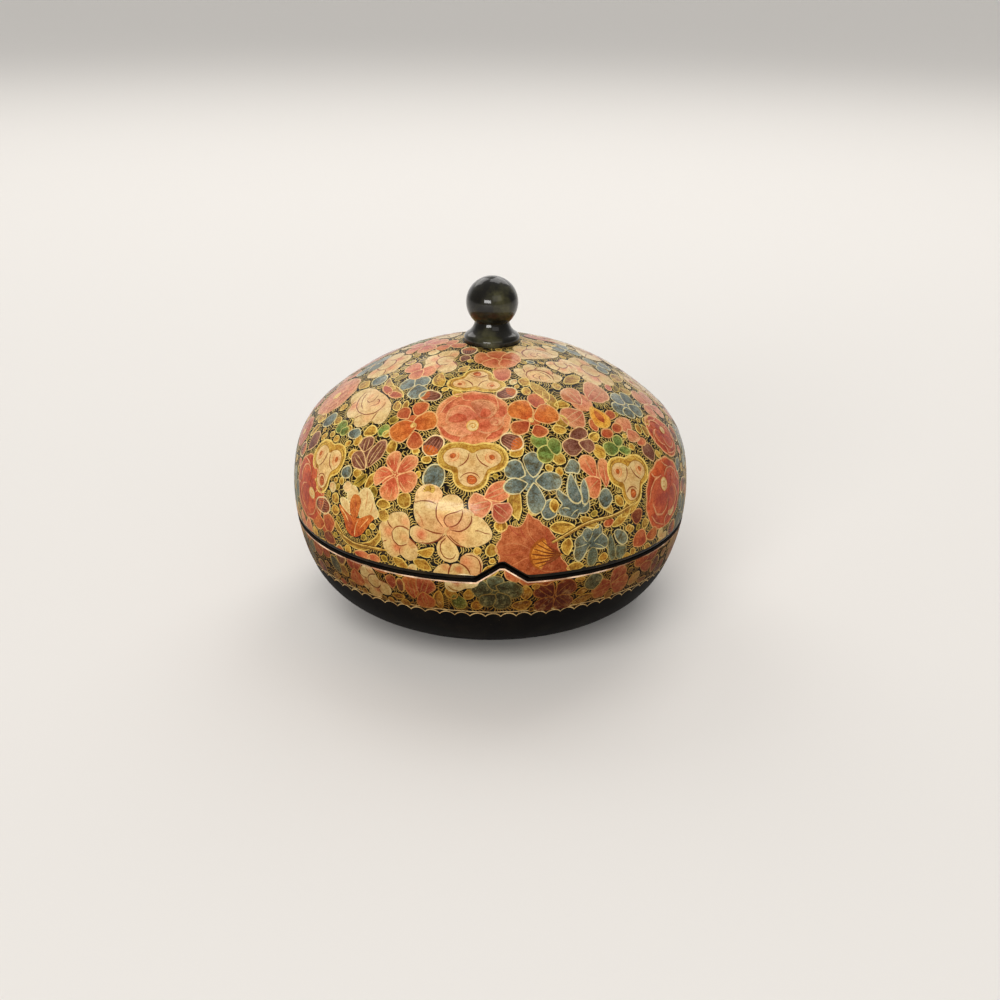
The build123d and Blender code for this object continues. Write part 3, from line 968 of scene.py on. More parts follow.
# single shapes as (turn, rise, long, wide, lean), by paint
leaves = {
    "ochre": [
        (-2.9, 1, 4, 3.4, 80), (-2.6, -2.3, 2, 1.7, 60), (-20, -0.8, 5.6, 2.7, 22),
        (-21.2, -5.2, 6, 3.3, -24), (-0.5, 8.4, 3.7, 3.8, -90), (16.2, 6.7, 8, 3.6, -6),
        (17.4, 0.7, 5.4, 3.4, -92), (20, -6.2, 5.6, 2.8, 0), (28.6, -5, 3.4, 2.8, 0),
        (-33, 11.3, 4.9, 2.9, 4), (-27, 13.7, 4.7, 4.5, 70), (-27.6, -5.8, 5.4, 2.9, -28),
        (-50.4, 8.7, 3.4, 3.3, 70), (-50, 5.1, 3.8, 3, 10), (-23, 26.5, 3.2, 2.4, 0),
        (-36, 28.5, 5.2, 3.4, 110), (-27.4, 28.7, 2.4, 2.1, 0), (-47.5, 31.5, 4.8, 4, 20),
        (-40.6, 32.4, 3, 2.6, 60), (-50, 27.5, 3.8, 3, 110), (-48.6, 23, 3.6, 3.2, 40),
        (-38.4, 17.3, 6.8, 2.7, 60), (-44, 18.2, 3.5, 2.6, 10), (-66, 30, 3.9, 3, 0),
        (-57.5, 29.6, 3.2, 2.2, 10), (-77, 27, 5.2, 3.6, 10), (-75, 43.6, 6, 3.8, 12),
        (-63, 25.6, 2.6, 2, 0), (18, 27, 4.2, 3.9, -40), (22, 36.6, 4.3, 3.3, -20),
        (24.4, 39.5, 4.7, 4.2, 80), (24.4, 48, 8.4, 3.7, 95), (28.5, 45.4, 5.2, 3, -10),
        (33.5, 32, 4.3, 3.1, 20), (32.4, 27, 5.2, 4.2, 85), (17, 23, 2.8, 2.4, 80), (5.2, 30.4, 5, 3.2, 30),
        (-24.4, 21.6, 2.4, 1.8, 80), (46.5, 54, 8.4, 3.6, 4), (22, 52.2, 9.2, 3.7, 108),
        (16.5, 57.2, 4.2, 3.5, 60), (24, 6.9, 7.4, 2.7, -32), (34.5, 6, 8.6, 2.7, 28),
        (38.6, 9, 10.4, 4.2, 26), (29.6, 10.4, 6, 2.6, -40), (43.8, 1.7, 3.3, 3.2, 0),
        (-17.3, -16.8, 7, 3.2, 90), (-13.7, -14, 4.6, 3.4, 120), (-9, -14.1, 3.7, 3, 75),
        (-6.6, -18, 3.8, 3.3, 20), (6.6, -13.3, 5.5, 3.6, 95), (5.9, -18, 6.2, 3.8, 10),
        (9.2, -11.4, 2.4, 2.1, 0), (22, -11, 3.5, 2.1, -10), (23.2, -15.6, 4.3, 2.4, 16),
        (23.9, -18.7, 7.4, 3.1, 14), (-48.8, -15, 4.4, 4, -40), (-29.5, -18, 4.5, 2.2, 0),
        (-52, 47.5, 9.6, 2.4, -14), (-60, 48.8, 8, 2.6, -18), (-41, 43.2, 4.6, 2, -70),
        (-66.5, 23.6, 3, 2.2, 70), (54.6, 29.6, 4, 2.6, 60), (62.4, 30.4, 4.8, 2.6, 8),
        (0.2, 62.6, 7.4, 2.4, 88), (-24, 63.5, 4.4, 2.8, 60), (-20.5, 51.6, 4, 2.6, 150),
        (-2.8, -5.5, 5.9, 3.6, 32), (57, -12.8, 3.6, 3, 20), (30.6, 12, 2.6, 2.2, 0),
    ],
    "olive": [
        (-36.8, 14.3, 3.4, 2.4, 120), (-41.5, 37.3, 3.3, 2.6, 20), (49.2, 37, 3, 2, 0),
        (66, 44, 4.6, 2.4, 20),
    ],
}
buds = {
    "red": [
        (46.8, 37.4, 4.7, 3.3, 10), (36.2, 35.8, 4.7, 2.9, 78), (39.5, 32, 4.8, 3.3, 4),
        (45, 32.6, 4.5, 3.3, 10), (-57.6, 46.6, 6.2, 2.5, -14), (-50.6, 46, 6, 2.6, 4),
    ],
    "slate": [
        (12.5, 12.4, 5.9, 5.1, 70), (29.6, 13.2, 5.8, 4.8, 80), (-53.5, 29, 5.2, 3.7, 8),
        (-71, 28.5, 6, 5.4, 60), (-70, 48, 5.8, 5.4, 30), (-48.3, 17.3, 4.3, 3.9, 20),
        (-52.4, -14, 6.4, 4.6, -60), (26.4, -12.8, 6.4, 5.8, 200), (66, 13, 5.2, 3.4, 30),
    ],
    "cream": [
        (42.6, -16.8, 5.4, 4.2, 36), (57.8, 1.2, 4, 3, 20),
    ],
    "coral": [
        (4, 61.5, 7.2, 5.4, 80), (-40, -6.3, 6.2, 2.6, 0), (-36, -6.2, 4.6, 2.6, 0), (2.8, -7, 6, 4, -48),
        (51.4, 25.6, 4.6, 2.7, 0),
    ],
}
stripedBuds = [
    ((-22.2, 31.3), 7.2, 6.3, -106), ((3.8, 33.8), 7, 5.8, -32), ((4.4, 52.4), 6.7, 4.7, 24),
    ((-33, 49), 7.2, 4.6, 184), ((-56, 4.6), 8, 5, 6, "brick"), ((-28.4, -13.6), 5, 2.6, 92),
]

# motifs drawn as free outlines, in millimetres about their middle
# a part is (paint, how, outline, stains as (x, y, reach, tint, share)); a line is (tint, width, curves)
plain = dict(line=0, comb=False)
bare = dict(line=0)
brown = (138, 66, 34)
shellPink = (232, 166, 122)
poppyVein = (208, 132, 90)
chalkBlue = (206, 204, 166)
sageBlue = (190, 192, 158)
stainRed = (196, 78, 52)
rustRed = (172, 76, 50)
dullGold = (150, 112, 40)
motifs = {}
motifs["peony"] = dict(parts=[
    ("cream", plain, [(-2.4, -0.4), (-1, 1.8), (1.4, 1.8), (2.6, 0), (1.4, -2.4), (-1.2, -2.4)]),
    ("blush", bare, [(-9.9, 7.2), (-9.8, 10.4), (-8.4, 12.4), (-5.6, 13.2), (-3, 12.6), (-1.2, 10.6),
     (-2, 7.8), (-5.5, 7.2)]),
    ("cream", bare, [(-10, 7.4), (-9.8, 4), (-8.8, 1.4), (-6.4, -0.6), (-3.4, -1.3), (-0.2, -1.2),
     (-0.4, 1.4), (-2.2, 2.8), (-2.6, 5.4), (-2.6, 7.8), (-5.5, 8.3), (-8.4, 8.1)],
     (-5.6, 3.2, 2.4, (206, 162, 112), 0.6), (-7.4, 0.8, 1.5, (228, 148, 106), 0.55)),
    ("cream", bare, [(0.2, -1.2), (1, 0.8), (4, 1), (7.2, 3), (8.4, 5), (10.6, 4.3), (12.4, 2.5),
     (13.8, 0.2), (13.8, -1.6), (12.4, -3), (9.8, -4.4), (6.4, -4.9), (3.6, -4.4), (1.4, -2.8)],
     (4.4, -1.6, 2.2, (228, 156, 110), 0.55), (8.2, -3, 1.8, (206, 168, 112), 0.5)),
    ("blush", bare, [(4.4, 6.8), (6.8, 6.6), (8.5, 5.2), (8, 2.8), (6.8, 1), (4.4, -0.4), (0.8, 0.6),
     (2.6, 2.4), (4, 4.4)]),
    ("cream", bare, [(-0.4, 0.6), (-2.8, 3.2), (-3.2, 6.2), (-2, 9), (0.2, 10.5), (2.8, 10.6), (4.9, 8.9),
     (5.2, 6.2), (4.4, 3.2), (2.4, 1.2)], (-1.8, 3.4, 1.6, (228, 150, 108), 0.6),
     (2.2, 8.4, 2, (210, 176, 122), 0.5)),
    ("blush", plain, [(0.6, 1), (-0.7, 2.6), (-0.3, 4.2), (1.4, 5.1), (3.4, 5.6), (4.9, 6.4), (4.8, 4),
     (3.6, 2), (2, 1.1)]),
    ("cream", bare, [(-0.4, -1.3), (-3.4, -1.1), (-6, -0.5), (-8.6, 0.7), (-10.6, -0.4), (-11, -2.4),
     (-9.4, -4.4), (-6.6, -5.1), (-3.6, -4.4), (-1.6, -2.6)], (-7.2, -2, 1.9, (224, 130, 94), 0.8),
     (-7.2, -2, 1.1, (200, 84, 58), 0.7)),
    ("cream", bare, [(0.1, -1.6), (-1.6, -3), (-2.6, -5), (-2.2, -7.6), (-0.6, -9.5), (1.6, -10.1),
     (3.7, -9.2), (4.3, -7), (3.4, -4.6), (1.6, -2.6)]),
    ("ochre", plain, [(-7.6, 10.4), (-6.8, 12.4), (-4.6, 12.9), (-3.6, 11.6), (-4.4, 10.2), (-5.8, 11)]),
], lines=[
    (brown, 0.3, [(-9.6, 7.2), (-8.2, 7.9), (-5, 8.1), (-3, 7.4)]),
    (brown, 0.34, [(-0.8, 1), (-2.7, 3.3), (-3, 6), (-2.6, 7.6)], [(0.8, 1), (-0.6, 2.4), (-0.3, 4.2),
     (1.2, 5), (3.2, 5.6), (4.8, 6.5)], [(4.9, 6.3), (4.7, 4), (3.6, 2), (1.8, 1.1), (0.6, 1)], [(7.5, 4.8),
     (7.6, 2.8), (6.2, 0.9), (4.2, -0.2), (1.4, 0.2)]),
    (brown, 0.36, [(0.4, -1.4), (1.6, -2.8), (3.4, -4.2), (6, -4.7)]),
    (brown, 0.26, [(1.2, -1.4), (2.6, -3), (4.6, -4.1)], [(8.6, 0.4), (10, 0.6), (11.2, -0.2),
     (13.2, -0.4)]),
    (brown, 0.34, [(-0.6, -1.6), (-2.4, -3.5), (-5, -4.6), (-8.4, -4.6)], [(-0.4, -1.2), (-3.4, -1.1),
     (-6.4, -0.2)]),
    (brown, 0.36, [(0.2, -2.4), (-1.3, -3.9), (-1.5, -6), (-0.4, -8.3), (1.4, -9), (2.8, -8.4), (3.2, -7)]),
    (brown, 0.26, [(0, -1.4), (-1, -2.6), (-2.2, -3.8)]),
    ((214, 150, 100), 0.26, [(-9.2, 4.6), (-7.4, 3.2), (-6.6, 0.6)]),
    ((120, 70, 30), 0.3, [(-7.6, 11.6), (-6.6, 11)], [(-5.4, 12.2), (-5.2, 11)]),
    ((206, 120, 80), 0.3, [(-8.6, -2.2), (-7.4, -3.6), (-5.8, -3.2)]),
])
motifs["rose"] = dict(parts=[
    ("coral", dict(line=0.5, depth=0.3), [(-11.4, 0), (-10.8, 3.6), (-9, 6), (-6.4, 8), (-4.4, 8.4),
     (-1.4, 9.5), (1.6, 8.9), (4.6, 8.8), (6.8, 7.2), (9, 5.8), (10.2, 3), (11.2, 0.8), (11, -2.4),
     (11, -4.8), (9.2, -6.8), (8, -9), (5, -10.2), (2, -11.4), (-0.8, -11), (-3.6, -11.4), (-6.2, -9.8),
     (-8.6, -8.4), (-9.8, -5.6), (-11.4, -3.4)]),
    ("deep", plain, [(-4.6, 7.4), (-3.6, 5.2), (-0.6, 5.9), (2, 7), (5.4, 6.2), (6.4, 4.4), (8.2, 4.6),
     (5, 7.6), (0, 8.3)]),
    ("deep", plain, [(-10.4, 1), (-8.6, 4.6), (-6.2, 6), (-7.2, 2.6), (-8.2, 0.2)]),
    ("deep", plain, [(-10.2, -4.6), (-7.8, -8.6), (-3.4, -10.4), (-2.8, -8.6), (-6.2, -7.8), (-8.8, -5.2)]),
    ("deep", plain, [(7.4, 4.4), (7.2, 0.8), (8.8, -0.6), (10, 1.6), (9.2, 3.8)]),
    ("deep", plain, [(5.6, -6.6), (8.6, -4.8), (9.6, -3.6), (9, -6.8), (6.8, -8.6), (4.4, -8.8)]),
    ("pink", plain, [(-8.2, -3.4), (-8, 0.6), (-5.6, 3.4), (-2.2, 3.4), (1.2, 0.8), (0.6, -2.4), (-1.6, -5),
     (-5.4, -5.2)]),
    ("deep", plain, [(-7.4, -1.6), (-5, 0.4), (-2.2, -0.2), (-1.6, -2.2), (-4.6, -3.4), (-7, -3)]),
    ("pink", plain, [(-1.6, 4.6), (1.2, 5.9), (4.2, 5.6), (6.4, 3.4), (6.4, 0.6), (4.6, -1.2), (1.6, -1),
     (0.2, 1.6)]),
    ("deep", plain, [(1.8, 0), (2.4, 2.8), (4.6, 2.4), (5.2, 0.6), (4, -0.8), (2.6, -1)]),
    ("pink", plain, [(-8.8, -4.8), (-6.2, -7.4), (-2.8, -8.2), (0.4, -7), (0, -5.2), (-3.4, -4.4),
     (-6.4, -4.2)]),
    ("deep", plain, [(2, -3.2), (4.2, -1.6), (5.6, -3.4), (4.6, -5.6), (2.4, -5.2)]),
    ("pink", plain, [(4.9, -2), (6, -0.4), (8, -0.6), (8.8, -2.2), (7.6, -3.8), (5.8, -3.6)]),
    ("cream", dict(line=0.3, comb=False, lineTint=(226, 176, 96)), [(-1.6, -4.2), (-1, -2.4), (0.8, -2),
     (2, -3.4), (1.8, -5.6), (0.2, -6.4), (-1.2, -5.6)]),
], lines=[
    (shellPink, 0.55, [(-1.4, 4.8), (1.2, 6), (4.2, 5.6), (6.4, 3.4), (6.3, 1), (5, -0.8)]),
    (shellPink, 0.5, [(-8, -3), (-7.6, 1.4), (-4.8, 3.5), (-1.6, 3), (0.8, 0.4)], [(-9.2, -4.4),
     (-6.6, -7.3), (-3, -8.3), (0.6, -7.1)], [(2.2, -6), (4.6, -6.8), (7.6, -5.4), (9.2, -2.8),
     (8.4, 0.2)]),
    (shellPink, 0.4, [(-10, 0.2), (-8.8, 3.6), (-6, 6.4), (-4.2, 7.8)], [(-4.6, 8), (-3.8, 5.4),
     (-1.2, 5.6)], [(5.4, 8), (6.6, 5.6), (7, 2.4)], [(9.8, 1.4), (8.6, -1), (9.6, -3.4)], [(4.4, -9.8),
     (4.4, -8.4), (6, -6.6)], [(-3.2, -10.8), (-3, -9), (-1.4, -8)]),
    ((190, 84, 60), 0.3, [(5.8, -1.6), (7.2, -1.2), (7.8, -2.6), (6.6, -3)]),
    ((222, 164, 76), 0.4, [(-0.8, -4), (0.2, -2.9), (1.2, -3.8), (0.9, -5.2), (-0.1, -5.2), (-0.2, -4.2),
     (0.4, -4)]),
])
motifs["tulip"] = dict(root=(-1, -5), parts=[
    ("ochre", dict(line=0.34, depth=0), [(9, -1.2), (7.6, -3.8), (5.2, -6), (1.8, -7.4), (-2.2, -7.8),
     (-5.4, -6.6), (-7.6, -4.4), (-9.2, -2.6), (-9.6, -4.6), (-8, -6.8), (-4.6, -9), (-0.6, -9.8),
     (3.4, -9.4), (7, -7.2), (9.2, -4.4)], (3, -9, 2, (122, 92, 28), 0.5),
     (-6, -7.6, 1.6, (122, 92, 28), 0.4)),
    ("cream", dict(line=0.34), [(1, 0.6), (0.6, 3.2), (1, 6.4), (0, 8), (1.4, 9.8), (3.4, 10.1), (5.2, 8.8),
     (6.3, 6.4), (7.2, 4.8), (8.6, 3.2), (7.2, 1.6), (5.4, 1.6), (3.4, 1)]),
    ("cream", dict(line=0.34), [(-4, 4.4), (-4.6, 7.2), (-3.2, 9.6), (-1.6, 9.6), (-0.2, 8.2), (0.6, 6),
     (-1.6, 5.2)]),
    ("cream", dict(line=0.34), [(-7.6, 4.6), (-5.8, 5.1), (-4, 4.8), (-2.6, 3.4), (-2.2, 0.6), (-4.8, 1.4),
     (-6.6, 2.8)]),
    ("blush", dict(line=0.4), [(-6.9, 8.6), (-5.4, 10.4), (-3.4, 9.8), (-3.2, 8), (-4.6, 6.8),
     (-6.2, 7.2)]),
    ("orange", plain, [(-2.8, 5.6), (-1.6, 7.3), (0.4, 7.3), (1.5, 5.8), (1.1, 3.6), (0.6, 1.2),
     (-0.6, -0.4), (-2.6, 1), (-3, 3.6)]),
    ("orange", bare, [(-7.8, 2.8), (-6, 2.3), (-4.4, 1.2), (-2.6, 0.6), (-0.6, 0), (1.4, 0.5), (3.2, 1.6),
     (5.4, 2.6), (7, 1.8), (5.5, 0.2), (4, -2), (2.2, -4.4), (0, -5.8), (-2.2, -6), (-4.2, -4.6),
     (-4.8, -2.6), (-5.6, -0.6), (-7, 0.9)]),
    ("red", plain, [(-4.4, 1), (-2.6, 0.4), (-1.6, -1.6), (-2.4, -4.4), (-3.8, -3.4), (-4.2, -1.4)]),
], lines=[
    ((238, 196, 140), 0.3, [(-0.8, -5.6), (-0.4, -2.6), (0.8, 0)]),
    ((190, 80, 36), 0.3, [(-0.8, 6.8), (-0.6, 4.4), (-0.8, 1.4)], [(1, -4), (2.6, -1.4), (5.2, 1.2)]),
    ((206, 150, 96), 0.26, [(3.2, 9.2), (3.6, 6.6), (3, 3.4)], [(5.6, 6.2), (5.8, 4.4), (5, 3)]),
    ((250, 214, 150), 0.3, [(-6.6, 1.6), (-4.6, 0.4), (-3.2, -1.6)]),
    ((250, 200, 130), 0.3, [(4.6, 1.2), (3, -0.8), (1.4, -2.6)]),
    ((150, 110, 40), 0.3, [(-8.8, -4.2), (-5.4, -7.4), (-0.8, -8.8), (4.4, -7.8), (8.2, -4.2)]),
])
motifs["swans"] = dict(parts=[        # a bunch with two necks, right of the middle
    ("slate", dict(line=0.36), [(-5.9, -0.8), (-4.4, 0.2), (-5.6, 1.6), (-6.3, 3.6), (-5.4, 4.9),
     (-4.4, 3.7), (-3.4, 2.6), (-1, 1.8), (3.6, 1.6), (4.1, -0.6), (4, -2.2), (2.8, -3.4), (1.2, -3.4),
     (0.2, -2.9), (0, -4.3), (-1.2, -4.8), (-2.6, -4), (-3.6, -3.5), (-5.2, -3.2), (-6.2, -2)]),
    ("slate", dict(line=0.36), [(-2.2, 10), (-0.8, 11.2), (0.6, 12.8), (2.2, 12.6), (3.4, 11), (3, 9.2),
     (1.6, 7.9), (0.8, 8.8), (-0.6, 8.7), (-2, 9.1)]),
    ("slate", dict(line=0.36), [(3.5, 6.8), (2, 5), (1.6, 3), (1.9, 1.2), (1.6, -0.6), (3, -1), (4, 0.4),
     (4.2, 3), (3.9, 5.4)]),
    ("slate", dict(line=0.42), [(-0.7, 8.6), (-1.9, 6.6), (-2.7, 4.2), (-2.6, 2), (-1.4, 0.3), (0.2, -0.4),
     (1.5, 0.3), (1.9, 1.6), (1.4, 3), (0.9, 4.8), (0.3, 6.8), (-0.1, 8.4)]),
], lines=[
    (chalkBlue, 0.3, [(1, 8.2), (0.6, 5.6), (1.4, 3.2), (1.6, 1)], [(-2.2, -3.6), (-1, -2.2), (0.2, -2)]),
    (chalkBlue, 0.26, [(-5, -1), (-3.4, -0.8), (-2.4, -1.6)]),
    (chalkBlue, 0.3, [(1.8, -1.4), (3, -1), (3.9, 0.2)]),
])
motifs["cloud"] = dict(parts=[        # the big flower at the seam
    ("slate", dict(line=0.34), [(-6.2, 1.2), (-5.6, 2.9), (-3.8, 3.3), (-3.3, 4.9), (-2, 5.5), (-0.8, 4.8),
     (-0.2, 3.8), (0.6, 5), (1.8, 5.9), (3.1, 5.1), (3.3, 3.6), (3, 2.7), (4.6, 1.7), (5.4, 0.2),
     (5.5, -1.4), (4.4, -2.3), (2, -2), (0, -1.2), (-1.4, -1.8), (-2.4, -2.4), (-3, -4), (-4.6, -5.2),
     (-6, -3.8), (-6.4, -1.6), (-5.8, -0.2)]),
    ("steel", dict(line=0.34), [(-0.2, -0.9), (1.2, -1.6), (1.9, -3.6), (1.6, -6.2), (0, -7.6),
     (-1.4, -6.4), (-1.8, -3.8), (-1.2, -1.8)]),
    ("steel", dict(line=0.34), [(5.8, 2.1), (6.9, 0.9), (7.9, -1.6), (8.5, -4.6), (8.7, -6.8), (7, -7.2),
     (5.8, -4.6), (5.3, -1.4)]),
    ("steel", dict(line=0.34), [(8.6, -2.2), (10.4, -3), (12.6, -3.4), (13.2, -5.6), (11, -7.6), (9, -6.6),
     (8.6, -4.4)]),
    ("slate", dict(line=0.4), [(7.5, 2.5), (9, 2.8), (11.4, 1.7), (13.1, -0.4), (13.3, -2.1), (11.4, -3),
     (9.4, -1.7), (8, 0.2)]),
], lines=[
    (sageBlue, 0.28, [(-0.2, 3.8), (-0.6, 2.2), (-1.6, 1)], [(-3.6, 3.2), (-2.8, 1.6), (-1.8, 0.8)],
     [(3, 2.8), (1.4, 1.8), (0.2, 0.6)], [(-5.6, -0.2), (-3.6, 0), (-2, 0.4)], [(-2.4, -2.4), (-1.8, -1),
     (-1, 0)], [(4.4, -2.2), (2.6, -0.8), (0.6, 0)]),
])
motifs["blossom"] = dict(parts=[
    ("cream", dict(line=0, depth=0.3), [(-4.3, 4), (-3.8, 5.6), (-2, 6.8), (0.6, 7.4), (2.2, 6.8), (3.2, 5),
     (3.3, 3), (3, 1.4), (2.8, -0.2), (4.6, -1.2), (5.8, -2.8), (6.1, -4.6), (5.4, -6.4), (3.4, -7.6),
     (1.4, -7), (0.2, -5.8), (-1, -7), (-2.6, -7.4), (-4.6, -6.2), (-5.7, -4.4), (-5.6, -2.9), (-6.2, -2),
     (-7, -0.2), (-7, 1.6), (-6.2, 3.2)], (-3.6, 0.6, 1.7, (222, 120, 84), 0.75),
     (-0.8, -3.9, 1.6, (216, 104, 74), 0.85), (1.7, 4.4, 1.5, (226, 140, 98), 0.7),
     (3.9, -1.8, 1.4, (214, 128, 92), 0.6)),
    ("cream", dict(line=0, comb=False, depth=0.3), [(0.2, 3), (-1.6, 2.4), (-2.6, 0.6), (-2.4, -1.4),
     (-1, -2.9), (0.8, -3.1), (2.6, -2), (3.2, 0.2), (2.8, 2.2), (1.6, 2.9)],
     (1.8, -0.4, 1.3, (214, 140, 92), 0.6)),
], lines=[
    (brown, 0.34, [(-4.2, 4), (-3.6, 2.6), (-2.2, 1.8)]),
    (brown, 0.4, [(3, 2.2), (1.6, 2.9), (0, 3), (-1.6, 2.3), (-2.5, 0.6)], [(-2.5, 0.8), (-2.4, -1.4),
     (-1.2, -2.7), (-0.2, -3.1)]),
    (brown, 0.36, [(-0.8, -3.1), (0.8, -3.2), (2.5, -2.2)]),
    (brown, 0.3, [(0.3, -3.7), (-0.3, -5), (0.2, -6)], [(-5.6, -2.9), (-4.8, -2.6), (-4.1, -2.1)]),
    (brown, 0.36, [(3.1, -0.2), (4.8, -1.4), (6, -3)]),
    ((196, 150, 96), 0.26, [(0.4, 6.4), (0.1, 5), (0.5, 3.6)]),
])
motifs["bigBlossom"] = dict(parts=[
    ("cream", dict(line=0, depth=0.3), [(-12.6, 0.6), (-10.8, 3.2), (-8.6, 4.8), (-5, 5.4), (-1.6, 5),
     (1.4, 4.8), (4.6, 4), (7.2, 3), (9.2, 0.8), (10.4, -2), (10.4, -4.4), (8, -5.2), (5.8, -4.6),
     (5.4, -7.2), (3, -9), (0.4, -8.6), (-1.6, -6.4), (-4.6, -7.6), (-7.4, -6), (-8.2, -3), (-10.2, -2.4),
     (-12.4, -1)], (-6.4, -3, 1.9, (224, 128, 88), 0.75), (3, 1.6, 2.2, (226, 150, 108), 0.6),
     (-3.6, 3.2, 1.8, (226, 154, 112), 0.55), (3.4, -4.6, 1.8, (226, 150, 104), 0.5)),
    ("cream", dict(line=0, comb=False, depth=0.6), [(-6.6, 2.8), (-6.8, 0.2), (-4.6, -2.2), (-1.6, -3.2),
     (1.8, -2.8), (3.8, -0.8), (4, 1.8), (2.6, 3.6), (0.2, 2.4), (-1.4, 3.8), (-4, 4.4)],
     (-3.4, 2.4, 1.5, (224, 146, 104), 0.6), (2.4, 1.6, 1.5, (224, 140, 100), 0.6)),
], lines=[
    (brown, 0.38, [(-7.8, 2.8), (-7.4, -0.4), (-5.2, -3), (-2, -4.2), (1.6, -4), (4.4, -2.2), (5.2, 0.6),
     (4.4, 3)]),
    (brown, 0.3, [(-6.4, 2.6), (-6, 0.6), (-4, -1.6), (-1.2, -2.8)], [(0.4, -4.4), (-0.6, -5.4),
     (-1.4, -6.6)], [(0.2, 2.4), (1.8, 2.6), (2.4, 0.8), (0.4, -0.6)], [(-1.2, 3.8), (-0.4, 1.6), (-1.6, 0),
     (-3.4, 0.6)]),
    (brown, 0.34, [(5.2, -1.6), (5.4, -3.2), (5.8, -4.8)]),
    (brown, 0.3, [(-7.6, -1.4), (-8, -2.4), (-8.2, -3.4)]),
])
motifs["seamPeony"] = dict(parts=[
    ("cream", dict(line=0, depth=0.3), [(-9, 0.6), (-7.6, 2.8), (-5.8, 3.9), (-4, 3.8), (-3.6, 1.6),
     (-3.6, -2), (-8.8, -2)], (-5, 2.6, 1.2, (222, 140, 100), 0.6)),
    ("blush", dict(line=0, depth=0.2), [(-0.9, 4.4), (-0.6, 6.4), (1.2, 7.8), (3.2, 7.8), (5, 6.8),
     (5.9, 4.6), (5.6, 2), (4.6, 0.2), (4.4, -2), (1, -2), (0.4, 2)], (1, 5, 1.7, (222, 128, 90), 0.7)),
    ("cream", dict(line=0, comb=False, depth=0.3), [(-4.5, -2), (-4.3, 2.2), (-3.2, 3.9), (-1.6, 4.3),
     (0.2, 3.8), (1.6, 2.4), (2.2, 0.4), (2.4, -2)], (-1.2, 2.3, 1.1, (206, 96, 62), 0.8)),
    ("ivory", dict(line=0, depth=0.3), [(-5.6, -0.6), (-5.5, -4.2), (-4.4, -5.5), (-2.6, -5.8), (-1, -5.1),
     (0.6, -4.1), (2.4, -4), (4.1, -3.2), (5, -1.2), (4.9, 0.2), (0, 1)],
     (-1.8, -2.2, 1.3, (226, 120, 84), 0.8)),
], lines=[
    (brown, 0.4, [(5, 1.4), (5.3, 3.6), (4.6, 6), (2.8, 7.1), (1, 7)]),
    (brown, 0.42, [(-0.9, 4.3), (0.6, 3.6), (1.7, 2.2), (2.2, 0.6)]),
    (brown, 0.4, [(-3.2, 3.9), (-4.1, 2.2), (-4.3, 0.2)]),
    ((170, 70, 44), 0.36, [(-4, -1.9), (-2.4, -2.6), (-0.2, -1.9)]),
    ((190, 150, 84), 0.4, [(-4.6, -3.6), (-3.4, -5), (-1.6, -5)]),
])
